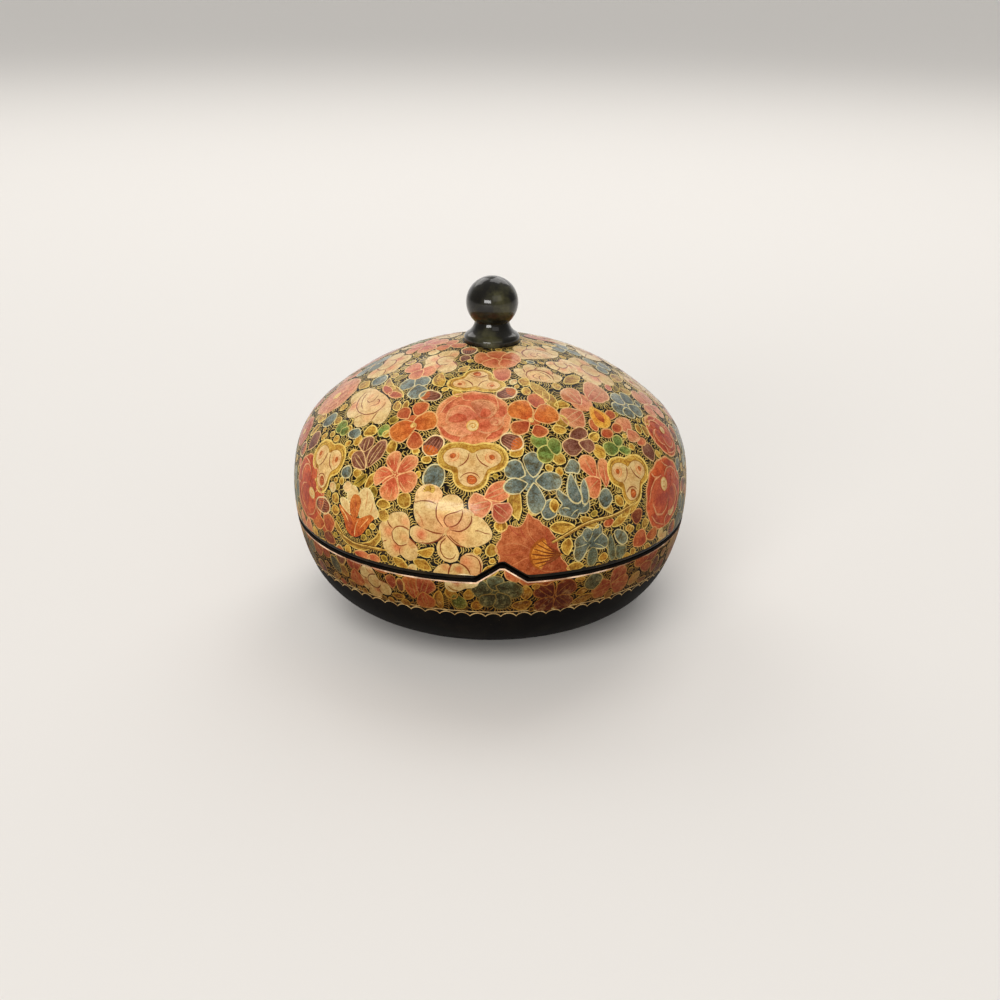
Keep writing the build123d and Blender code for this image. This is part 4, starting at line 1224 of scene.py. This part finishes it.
motifs["trefoil"] = dict(parts=[        # three cream blossoms run together inside an ochre edge
    ("ochre", dict(line=0.5, depth=0), [(0, 6), (3, 6.9), (7, 6.6), (9.2, 5), (10.3, 3), (10.3, 1),
     (9.5, -0.8), (8, -1.8), (6.2, -2.4), (5, -3), (5.1, -4.4), (4.6, -6.2), (3.4, -7.6), (1.4, -8.6),
     (-0.6, -8.8), (-2.6, -8.1), (-4.2, -6.8), (-5, -5), (-4.9, -3.2), (-6.2, -2.4), (-8, -1.9),
     (-9.6, -0.7), (-10.3, 1.2), (-10.1, 3.2), (-9, 5.2), (-7, 6.5), (-3.2, 6.8)],
     (-6, -1.6, 2, (120, 96, 34), 0.5), (4.4, -6, 2.4, (138, 108, 40), 0.5)),
    ("cream", dict(line=0.26, comb=False, lineTint=(176, 128, 50), depth=0.2), [(0, 3.2), (1.5, 4.6),
     (4, 5.2), (6.5, 4.7), (8.2, 3.4), (8.7, 1.8), (7.8, 0.1), (6.2, -0.8), (4.8, -1.5), (4.4, -2.7),
     (4, -4), (3.5, -5.5), (2.5, -6.6), (0.8, -7.4), (-1.2, -7.3), (-2.9, -6.3), (-3.7, -4.5), (-3.7, -2.6),
     (-4.2, -1.2), (-6.2, -1), (-8, 0.2), (-8.7, 2), (-8, 3.7), (-6.2, 4.9), (-3.8, 5.1), (-1.5, 4.4)],
     (5.6, 2.3, 1.9, (232, 158, 104), 0.75), (-5.6, 2.2, 1.9, (232, 158, 104), 0.75),
     (0.3, -4.6, 2, (232, 158, 104), 0.6), (0, 0.6, 1.6, (206, 160, 92), 0.5)),
    ("orange", dict(line=0.22, comb=False, lineTint=(150, 66, 34)), [(-1, -4.2), (-0.2, -3.4), (1.1, -3.9),
     (2.1, -4.9), (1.7, -6.1), (0.4, -6.7), (-0.8, -6.1)], (0.6, -5.4, 1, (190, 74, 40), 0.7)),
    ("orange", dict(line=0.2, comb=False, lineTint=(170, 92, 54)), [(4.8, 3.1), (5.9, 3.3), (6.8, 2.3),
     (6.1, 1.3), (5, 1.9)], (5.8, 2.3, 0.8, (190, 84, 52), 0.7)),
    ("orange", dict(line=0.2, comb=False, lineTint=(170, 92, 54)), [(-4.7, 3), (-5.9, 3.3), (-6.8, 2.2),
     (-5.9, 1.3), (-4.8, 1.9)], (-5.7, 2.3, 0.8, (190, 84, 52), 0.7)),
], lines=[
    (brown, 0.3, [(1, 3.3), (1.6, 1.7), (2.6, 0.5), (4, -0.4), (5.4, -0.9)], [(-1, 3.4), (-1.1, 1.6),
     (-2.2, -0.2), (-3.8, -1.1)], [(-3, -4.6), (-1.8, -3.2), (0, -2.7), (1.8, -3.2), (2.8, -4.4)]),
    ((226, 150, 96), 0.3, [(4.2, 3.4), (3.6, 2.2), (4.4, 0.8), (6, 0.4)], [(-4.2, 3.4), (-3.7, 2.2),
     (-4.4, 0.9), (-6, 0.5)]),
    (dullGold, 0.26, [(5.8, 5.9), (8.4, 4.8), (9.5, 2.4), (8.8, -0.2)], [(4.3, -4.6), (3.4, -6.8),
     (0.8, -8.1), (-1.6, -7.9)], [(-5.4, 5.9), (-8, 4.9), (-9.4, 2.4)]),
    ((232, 160, 110), 0.3, [(-0.2, -4.6), (0.5, -4.8), (1.2, -4.6)]),
])
motifs["five"] = dict(root=(0.1, 0.7), parts=[
    ("deep", plain, [(-0.8, 5), (2.4, 5), (4.8, 2.6), (5, -1.6), (2, -3.8), (-2.6, -3.8), (-4.6, -1.2),
     (-3.6, 2.6)]),
    ("coral", dict(line=0.4, hatch=3), [(-0.1, 1.1), (-2.2, 2.2), (-4.2, 3.6), (-4.5, 5.6), (-3.2, 7.3),
     (-1.4, 7.7), (-0.1, 6.4), (0.3, 3.6)], (-2, 3.6, 1.5, stainRed, 0.7)),
    ("coral", dict(line=0.4, hatch=3), [(0.2, 1.2), (0.5, 4.4), (1.3, 6.7), (3.4, 7.4), (5.4, 6.8),
     (6, 4.9), (4.9, 3.1), (2.4, 1.5)], (2.6, 3.8, 1.5, stainRed, 0.7)),
    ("coral", dict(line=0.4, hatch=3), [(0.6, 0.7), (2.8, 1.8), (5, 2.8), (7.1, 1.7), (7.4, -0.8),
     (6.3, -3.3), (4.2, -4.1), (2.2, -2.5), (1.1, -0.4)], (3.6, 0, 1.6, stainRed, 0.7)),
    ("coral", dict(line=0.4, hatch=4), [(0.2, 0.3), (1.6, -1.6), (2.7, -4), (1.9, -6.5), (-0.6, -7.3),
     (-3, -6.6), (-4.1, -4.4), (-2.8, -2.2), (-0.8, -0.2)], (-0.2, -3, 1.7, stainRed, 0.7)),
    ("coral", dict(line=0.4, hatch=3), [(-0.3, 0.6), (-2.4, -0.4), (-4.2, -2.6), (-5.8, -3.8), (-7, -1.6),
     (-6.6, 0.9), (-4.7, 2.5), (-2.2, 2)], (-3.4, -0.4, 1.5, stainRed, 0.7)),
], lines=[
    ((236, 186, 130), 0.6, [(-0.5, 0.8), (0.1, 1.1), (0.6, 0.6), (0.1, 0.3)]),
])
motifs["poppy"] = dict(root=(4, -2.4), fan=(4.9, -2.6, 8, -6), parts=[
    ("poppy", dict(line=0.36), [(-9.6, 1.9), (-8.4, 3.2), (-8.6, 5.4), (-7, 5.6), (-6.4, 7.4), (-4.6, 6.3),
     (-3, 6.4), (-2, 7.4), (-0.5, 10.8), (0.9, 8.6), (2.5, 8.3), (3.6, 6.5), (5.4, 5.6), (6.7, 3.4),
     (8.2, 1.4), (8.2, -0.8), (9.2, -2.6), (9.4, -4.4), (11.2, -6.2), (12.9, -9.6), (11.4, -12.4),
     (8, -11.6), (5.4, -13.4), (2, -12.2), (-1.4, -12.8), (-3.6, -10.6), (-6.6, -9.5), (-8.2, -5.6),
     (-9.4, -4.5), (-8.8, -2.6), (-10.4, -0.6)], (7, -1.4, 3, (150, 66, 38), 0.5),
     (8.6, -8.4, 3, (150, 66, 38), 0.5), (-5, 1, 3, (200, 116, 74), 0.5), (0, 6, 2.4, (200, 116, 74), 0.5),
     (-4, -7, 3, (196, 110, 68), 0.5)),
], lines=[
    (poppyVein, 0.28, [(-9.5, 0.5), (-6, 1.6), (-3, 1.2), (0, -0.5)], [(-0.4, 10), (-1.2, 6.5), (-0.2, 3.5),
     (1.5, 1.5)], [(-7, -6), (-4, -5), (-2, -3.5), (0.6, -3)], [(10.5, -8), (7, -8.6), (4, -8), (2, -6.2)]),
    (rustRed, 0.3, [(-6.2, 6.8), (-4.5, 4.5), (-2.6, 3.6)], [(5, 5), (4.6, 3.4), (5.2, 1.6)], [(-8, -2),
     (-5.4, -2.2), (-3, -1.4)], [(-3, 6), (-2, 3.4), (-0.4, 2)]),
])
# painted shade: the roses at the left and right edges take darker copies of their paints
shadedAtSides = {"coral": "shadedCoral", "pink": "shadedCoral", "deep": "shadedDeep"}
# motifs as (name, place, changes)
drawnPlaces = [
    ("peony", (-15, 6.5), {}), ("rose", (-10.4, 43.4), {}), ("tulip", (-41.7, 4.8), {}),
    ("swans", (20.6, 13.4), dict(lift=4)), ("cloud", (25, 0.2), {}), ("poppy", (7.3, 1.6), {}),
    ("blossom", (-27.7, 3), {}), ("seamPeony", (-10.3, -7.7), {}), ("bigBlossom", (-57.5, 39.8), {}),
    ("trefoil", (-9, 26.4), dict(lift=3)), ("five", (-31.3, 19.7), {}),
    ("rose", (-66, 7.5), dict(size=0.88, squeeze=1.15, spin=70, swap=shadedAtSides)),
    ("rose", (55, 6.8), dict(size=1.02, spin=200, mirror=-1, swap=shadedAtSides)),
    ("rose", (64.5, 23.2), dict(size=0.66, spin=120, swap=shadedAtSides)),
    ("bigBlossom", (27, 59.5), dict(size=0.66, spin=160)), ("blossom", (-47, 66), dict(size=0.95, spin=20)),
    ("bigBlossom", (48, 70.5), dict(size=0.78, spin=165)), ("blossom", (53, 61), dict(size=0.7, spin=60)),
    ("blossom", (67, 54), dict(size=1.1, spin=-30)), ("blossom", (-83, 53), dict(size=1.05, spin=200)),
    ("blossom", (-37.4, -14.7), dict(size=0.8, spin=30, swap={"cream": "ivory"})),
    ("trefoil", (-12, 57.8), dict(size=0.86, spin=180, squeeze=0.8)),
    ("trefoil", (-58.4, 16.8), dict(size=0.8, spin=4, squeeze=1.3, lift=4)),
    ("trefoil", (39.8, 17), dict(size=0.8, spin=-8, squeeze=1.2, lift=3)),
]
branches = [
    [(12.8, 2.6), (16.5, 4.2), (20.5, 6.2), (25, 7.4), (32, 7.3), (40, 9.6)],
    [(-49.5, -1.3), (-43, -3.4), (-38, -3), (-31.5, -2.6)],
]


def layFront():
    for name, spot, how in drawnPlaces:
        drawn(spot, motifs[name], **how)
    for branch in branches:
        stem(branch)
    for bunch in roses:
        rose(*bunch)
    for spot, paint, petals, *more in flowers:
        flower(spot, paint, petals, **(more[0] if more else {}))
    blob((-19.5, 21.4), (0, 0), turned(ringPoints(7.8, 6.6, 2, 0.03), 90), "slate", 0)
    leaf((3.3, 15.2), (0.2, 0), 10.4, 4.0, -88, bend=0.9)
    flame = (41.0, 38.0)
    petal(flame, (0, 0), 8.6, 6.4, 90, "flame", 3, egg=-0.3, point=(0, 0.9), line=0.3)
    petal(flame, (0.2, 0.2), 5.0, 2.6, 90, "orange", 4, egg=-0.2, point=(0.3, 0.8), line=0, comb=False)
    for bud in stripedBuds:
        stripedOval(*bud)
    for paint, group in leaves.items():
        for turn, rise, long, wide, lean in group:
            leaf((turn, rise), (0, 0), long, wide, lean, paint, bend=long * dice.normal(0, 0.07),
                 point=(0.2, 0.5) if long < 1.5 * wide else (0.5, 0.8))
    for paint, group in buds.items():
        for turn, rise, long, wide, lean in group:
            petal((turn, rise), (0, 0), long, wide, lean, paint, 1, egg=0.05, point=(0.1, 0.1))
    petal((12.5, 12.4), (1.6, 1.0), 3.8, 2.6, 92, "ochre", 2, comb=False)
    seed = (8.3, 12.6)
    dot(seed, (0, 0), 3.2, (228, 200, 130), 1, "leaf", ring=True)
    dot(seed, (0, 0), 1.3, (196, 140, 40), 2, "leaf")
    mark(seed, ringPoints(2.4, 2.4, 3, 0))
    dot((37.0, 2.3), (0, 0), 2.2, (206, 150, 60), 1, "leaf", ring=True)


layFront()
print("front painted,", int(takenMap.sum()), "cells taken")

# the rest, strewn in the same manner
strewn = dict(
    tight=0.03, lowest=-20.0, highest=77.5,
    eachMotif=900,        # tries
    eachFive=(9, 420), eachCluster=(18, 900), eachSmallCluster=(60, 900),        # how many, tries
    # how many, tries, room across and up
    ovals=(60, 2400, 6.4, 5.2), bigLeaves=(300, 2500, 8.0, 4.0), smallLeaves=(900, 5000, 5.2, 3.0),
    buds=(1400, 7000, 3.2, 2.8), smallBuds=(1400, 7000, 2.2, 1.8),
    # motif, how many, room it needs, size, lowest place
    motifs=[
        ("rose", 5, 25, 0.95, -20), ("peony", 5, 26, 0.92, -20), ("poppy", 3, 26, 0.95, 2),
        ("trefoil", 7, 20, 0.95, -20), ("bigBlossom", 5, 23, 0.85, -20), ("tulip", 5, 18, 0.95, 0),
        ("swans", 6, 17, 0.95, -4), ("cloud", 6, 17, 0.9, -4), ("blossom", 10, 15.5, 1.0, -20),
        ("five", 14, 15, 1.0, -20), ("rose", 5, 15, 0.66, -20), ("trefoil", 6, 16, 0.8, -20),
    ],
    # five-petalled flowers: lengths as shares of their size, then paint, size, second paint
    fiveLook=dict(away=(0.27, 0.32), long=(0.44, 0.54), wide=(0.36, 0.46), uneven=7, eye=(238, 200, 130)),
    fives=[
        ("slate", 15.5, None), ("coral", 14.0, None), ("orange", 14.0, "red"), ("rose", 13.0, None),
        ("slate", 12.0, "steel"), ("pink", 12.0, None), ("red", 11.0, "orange"), ("coral", 11.0, "pink"),
    ],
    clusters=[("mauve", 9.5), ("green", 9.0), ("slate", 9.0), ("blush", 9.0), ("pink", 8.5), ("orange", 8.5)],
    smallClusters=[("green", 6.5), ("mauve", 6.0), ("red", 6.0), ("cream", 6.0)],
    budPaints=("ochre", "ochre", "ochre", "slate", "red", "coral", "cream"),
)


def strew(count, tries, wide, high, draw, low=strewn["lowest"], free=None):
    # puts up to count motifs of a size where nothing lies yet
    done = 0
    disc = np.concatenate([circle(28) * (wide, high) / 2 * share for share in (1.0, 0.82, 0.6, 0.3, 0.05)])
    for _ in range(tries):
        rise = dice.uniform(low, strewn["highest"])
        if dice.random() > sectionAt(rise)[0] / section["widest"]:
            continue
        spot = (dice.uniform(-180, 180), rise)
        if free and not free(spot):
            continue
        lean = dice.uniform(0, 360)
        if takenShare(spot, turned(disc, lean)) > strewn["tight"]:
            continue
        draw(spot, lean)
        done += 1
        if done == count:
            break


def looseFive(paint, size, second):
    def draw(spot, lean):
        look = strewn["fiveLook"]
        count = int(dice.integers(4, 6))
        petals = []
        for k in range(count):
            angle = math.radians(360 / count * k + dice.normal(0, look["uneven"]))
            away = size * dice.uniform(*look["away"])
            own = second if second and k % 2 else paint
            petals.append((math.cos(angle) * away, math.sin(angle) * away, size * dice.uniform(*look["long"]),
                           size * dice.uniform(*look["wide"]), None, own))
        eye = look["eye"] if dice.random() < 0.5 else None
        flower(spot, paint, petals, lean, eye, 2 if paint in ("coral", "rose", "brick") else 0)
    return draw


def looseCluster(paint, size):
    petals = [(-0.26 * size, 0.22 * size, 0.55 * size, 0.5 * size),
              (0.28 * size, 0.16 * size, 0.55 * size, 0.48 * size),
              (0.0, -0.28 * size, 0.6 * size, 0.46 * size)]
    return lambda spot, lean: flower(spot, paint, petals, lean, veins=1 if paint == "mauve" else 0)


def looseOval(spot, lean):
    stripedOval(spot, dice.uniform(5.4, 7.2), dice.uniform(4.0, 5.2), lean, flip=dice.random() < 0.5)


def looseLeaf(low, high):
    def draw(spot, lean):
        long = dice.uniform(low, high)
        paint = "ochre" if dice.random() < 0.8 else "olive"
        leaf(spot, (0, 0), long, long * dice.uniform(0.42, 0.62), lean, paint,
             bend=long * dice.normal(0, 0.09), vein=long > 5 and dice.random() < 0.4)
    return draw


def looseBud(paints, low, high):
    def draw(spot, lean):
        long = dice.uniform(low, high)
        wide = long * dice.uniform(0.7, 0.95)
        paint = paints[dice.integers(0, len(paints))]
        petal(spot, (0, 0), long, wide, lean, paint, 1, egg=0.1, point=(0.2, 0.2), line=0.34)
    return draw


where = {}        # motifs keep away from their own kind


def centreOf(spot):
    return onShell(np.radians(spot[0]), spot[1])[0]


def looseMotif(name, size):
    def draw(spot, lean):
        drawn(spot, motifs[name], size, lean, dice.choice((-1, 1)))
        where[name].append(centreOf(spot))
    return draw


def apart(name, gap):
    def free(spot):
        away = [centreOf(spot) - other for other in where[name]]
        return min(float(np.hypot(*each[[0, 1]]) + abs(each[2])) for each in away) > gap
    return free


def layRest():
    for name, spot, _ in drawnPlaces:
        where.setdefault(name, []).append(centreOf(spot))
    for name, count, room, size, low in strewn["motifs"]:
        strew(count, strewn["eachMotif"], room, room * 0.95, looseMotif(name, size), low,
              apart(name, room * 1.9))
    for paint, size, second in strewn["fives"] * 2:
        strew(*strewn["eachFive"], size * 0.93, size * 0.93, looseFive(paint, size, second))
    for paint, size in strewn["clusters"]:
        strew(*strewn["eachCluster"], size * 0.95, size * 0.95, looseCluster(paint, size))
    strew(*strewn["ovals"], looseOval)
    strew(*strewn["bigLeaves"], looseLeaf(6.5, 8.5), -19.5)
    for paint, size in strewn["smallClusters"]:
        strew(*strewn["eachSmallCluster"], size, size, looseCluster(paint, size))
    strew(*strewn["smallLeaves"], looseLeaf(4.2, 5.8))
    strew(*strewn["buds"], looseBud(strewn["budPaints"], 2.6, 3.8), -20.3)
    strew(*strewn["smallBuds"], looseBud(("ochre", "olive"), 1.7, 2.5), -20.6)


layRest()
print("the rest painted,", int((takenMap > 0).sum()), "cells taken")

# comb strokes: short fine lines that stand off every outline
comb = dict(
    pitch=0.68, off=0.42, shortest=0.85, longest=2.9, start=0.42, lengths=(0.82, 1.0), slant=12,
    bow=0.30, bowSpread=0.05, bowAt=0.75, look=0.2, lookFrom=0.1, lookPast=0.35, clear=0.3,
    width=0.32, widths=(0.75, 1.2), taper=(0.85, 1.0, 0.5),
    tint=(222, 194, 112), tones=(0.72, 1.05), fade=0.28,
)


def combOutline(anchor, rim):
    line = thinOut(np.concatenate([rim, rim[:1]]), comb["pitch"])[:-1]
    if len(line) < 5:
        return 0
    ahead = np.roll(line, -1, 0) - np.roll(line, 1, 0)
    out = np.stack([ahead[:, 1], -ahead[:, 0]], 1) / np.hypot(*ahead.T)[:, None].clip(1e-6)
    out = turned(out * math.copysign(1.0, areaOf(line)), dice.normal(0, comb["slant"]))
    reach = np.arange(comb["off"] + comb["lookFrom"], comb["longest"] + comb["lookPast"], comb["look"])
    seen = np.stack([takenMap[cells(*spread(anchor, line + out * r))] > 0 for r in reach])
    seen[-1] = True
    free = reach[seen.argmax(0)] - comb["clear"]
    wanted = np.minimum(free, comb["longest"]) * dice.uniform(*comb["lengths"], len(line))
    keep = (free > comb["shortest"]) & (wanted > comb["off"] * 0.5 + comb["clear"])
    line, out, wanted = line[keep], out[keep], wanted[keep]
    if not len(line):
        return 0
    side = np.stack([-out[:, 1], out[:, 0]], 1)
    shares = np.array([0.0, 0.5, 1.0])
    halves = comb["width"] / 2 * np.array(comb["taper"]) * dice.uniform(*comb["widths"], (len(line), 1))
    bow = (comb["bow"] + dice.normal(0, comb["bowSpread"], len(line)))[:, None]
    bow = bow * wanted[:, None] * np.array([0, comb["bowAt"], 0])
    start = comb["off"] * comb["start"]
    along = start + (wanted - start)[:, None] * shares
    middle = line[:, None] + out[:, None] * along[..., None] + side[:, None] * bow[..., None]
    halfAcross = side[:, None] * halves[..., None]
    flat = np.stack([middle - halfAcross, middle + halfAcross], 2)
    mark(anchor, middle.reshape(-1, 2), 2)
    mark(anchor, ((middle[:, :1] + middle[:, 1:]) / 2).reshape(-1, 2), 2)
    tone = dice.uniform(*comb["tones"], (len(line), 1, 1)) * np.ones((1, 6, 1))
    fade = np.repeat(1 - comb["fade"] * shares, 2)[None, :, None]
    tints = (linear(comb["tint"]) * tone * fade).reshape(-1, 3)
    faces = np.concatenate([gridFaces(3, 2) + 6 * k for k in range(len(line))])
    lay(anchor, flat.reshape(-1, 2), faces, tints, "line", -1)
    return len(line)


outlines.sort(key=lambda each: -float(np.ptp(each[1], axis=0).sum()))        # the big shapes are combed first
print("comb strokes:", sum(combOutline(*each) for each in outlines))

# the border low on the bowl, and the pale edge of its rim, all round and over the tongue: partly worn paint,
# partly a painted highlight, brightest at the front left
# waves along them are (size, pace, phase)
border = dict(line=-20.55, lineWidth=0.32, scallop=4.35, reach=57.0, top=-21.15, drop=1.35, scallopWidth=0.42,
              tint=(176, 148, 98), tones=((0.16, 37, 0), (0.10, 91, 2)), waves=((0.05, 23, 0), (0.04, 61, 1)))
# the rim line: worn paint together with a painted highlight, palest at the front left
rimWearAndHighlight = dict(below=1.2, width=0.42, pale=(238, 206, 176), dull=(128, 78, 52), layer=7,
               wearAndHighlight=0.5, waves=((0.3, 5, 0.6), (0.25, 13, 2), (0.2, 41, 0)), highlightSpot=(0.6, -16, 14))


def waved(turn, level, waves):
    for size, pace, phase in waves:
        level = level + size * np.sin(turn * pace + phase)
    return level


def ribbonRound(turn, rise, width, tints, layer=0):
    # a painted line right round the bowl, given as turn and rise
    lift = brush["layerBase"] + layer * brush["layerStep"]
    down, up = [onShell(turn, rise + side * width / 2, lift) for side in (-1, 1)]
    tone = waved(turn, 1, border["tones"])
    tints = np.tile(tints * tone[:, None], (2, 1))
    points, normals = [np.concatenate(pair) for pair in zip(down, up)]
    faces = bandFaces(0, len(turn))[:, [0, 3, 2, 1]]
    heaps.setdefault(("line", "base"), Heap()).put(points, normals, tints, faces)


def layBorder():
    turn = np.linspace(-math.pi, math.pi, 2600, endpoint=False)
    wave = waved(turn, 0, border["waves"])
    tint = linear(border["tint"])
    ribbonRound(turn, border["line"] + wave, border["lineWidth"], tint)
    count = round(tau * border["reach"] / border["scallop"])
    phase = (turn / tau * count) % 1.0
    hang = 4 * phase * (1 - phase)
    ribbonRound(turn, border["top"] - border["drop"] * (1 - hang ** 0.8) + wave, border["scallopWidth"], tint)


def layRimWearAndHighlight():
    turn = np.linspace(-math.pi, math.pi, 2400, endpoint=False)
    size, middle, spread = rimWearAndHighlight["highlightSpot"]
    wearAndHighlight = waved(turn, rimWearAndHighlight["wearAndHighlight"], rimWearAndHighlight["waves"])
    # painted highlight: the rim is palest round the front left
    wearAndHighlight = wearAndHighlight + size * np.exp(-((np.degrees(turn) - middle) / spread) ** 2)
    share = wearAndHighlight.clip(0, 1)
    tint = linear(rimWearAndHighlight["dull"]) * (1 - share)[:, None] + linear(rimWearAndHighlight["pale"]) * share[:, None]
    ribbonRound(turn, seamRise(turn, -rimWearAndHighlight["below"]), rimWearAndHighlight["width"] * (0.5 + 0.8 * share), tint,
                rimWearAndHighlight["layer"])


layBorder()
layRimWearAndHighlight()

# paint into meshes: each family's streaks, and how much of the varnish each body keeps
paintLooks = {
    "coral": dict(mottle=0.75, grainScale=2300), "ember": dict(mottle=0.85, grainScale=2300),
    "cream": dict(mottle=0.55, grainScale=2000), "slate": dict(mottle=1.0, grainScale=2200),
    "leaf": dict(mottle=1.0, grainScale=2200), "line": dict(mottle=0.6, grainScale=3200),
}
bodyCoats = {"lid": ("Paint", 1.0), "base": ("PaintBelow", 0.3)}        # worn duller by handling
paints = {(family, body): gouache(family + ending, **look, coat=coat)
          for family, look in paintLooks.items() for body, (ending, coat) in bodyCoats.items()}


def meshOf(name, heap):
    points, normals, tints = [np.concatenate(part) for part in zip(*heap.rows)]
    mesh = bpy.data.meshes.new(name)
    mesh.from_pydata((points * mm).tolist(), [], heap.faces)
    paint = mesh.attributes.new("paint", "FLOAT_COLOR", "POINT")
    paint.data.foreach_set("color", np.concatenate([tints.clip(0, 1), np.ones((len(tints), 1))], 1).ravel())
    mesh.validate()
    mesh.shade_smooth()
    if len(mesh.vertices) == len(normals):
        mesh.normals_split_custom_set_from_vertices(normals.tolist())
    return mesh


for (family, body), heap in sorted(heaps.items()):
    mesh = meshOf(body + "_" + family + "_paint", heap)
    mesh.materials.append(paints[family, body])
    piece = addObject(mesh.name, mesh)
    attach(piece, body)
    print(piece.name, len(mesh.polygons), "faces")

solidLooks = {"bowl": "shadedBowlLacquer", "lid": "blackLacquer", "foot": "shadedBowlLacquer", "collar": "pasteboard",
              "knob": "knobLacquer", "patch": "pasteboard"}
made = {name: lacquer(name, **look) for name, look in lacquers.items()}
for name, look in solidLooks.items():
    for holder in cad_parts[name].material_slots:
        holder.material = made[look]
print("solids finished")

setCamera()
setLamps()
setWorld()
setFloor()
bpy.context.scene.view_settings.view_transform = "Standard"
print("camera and light set")
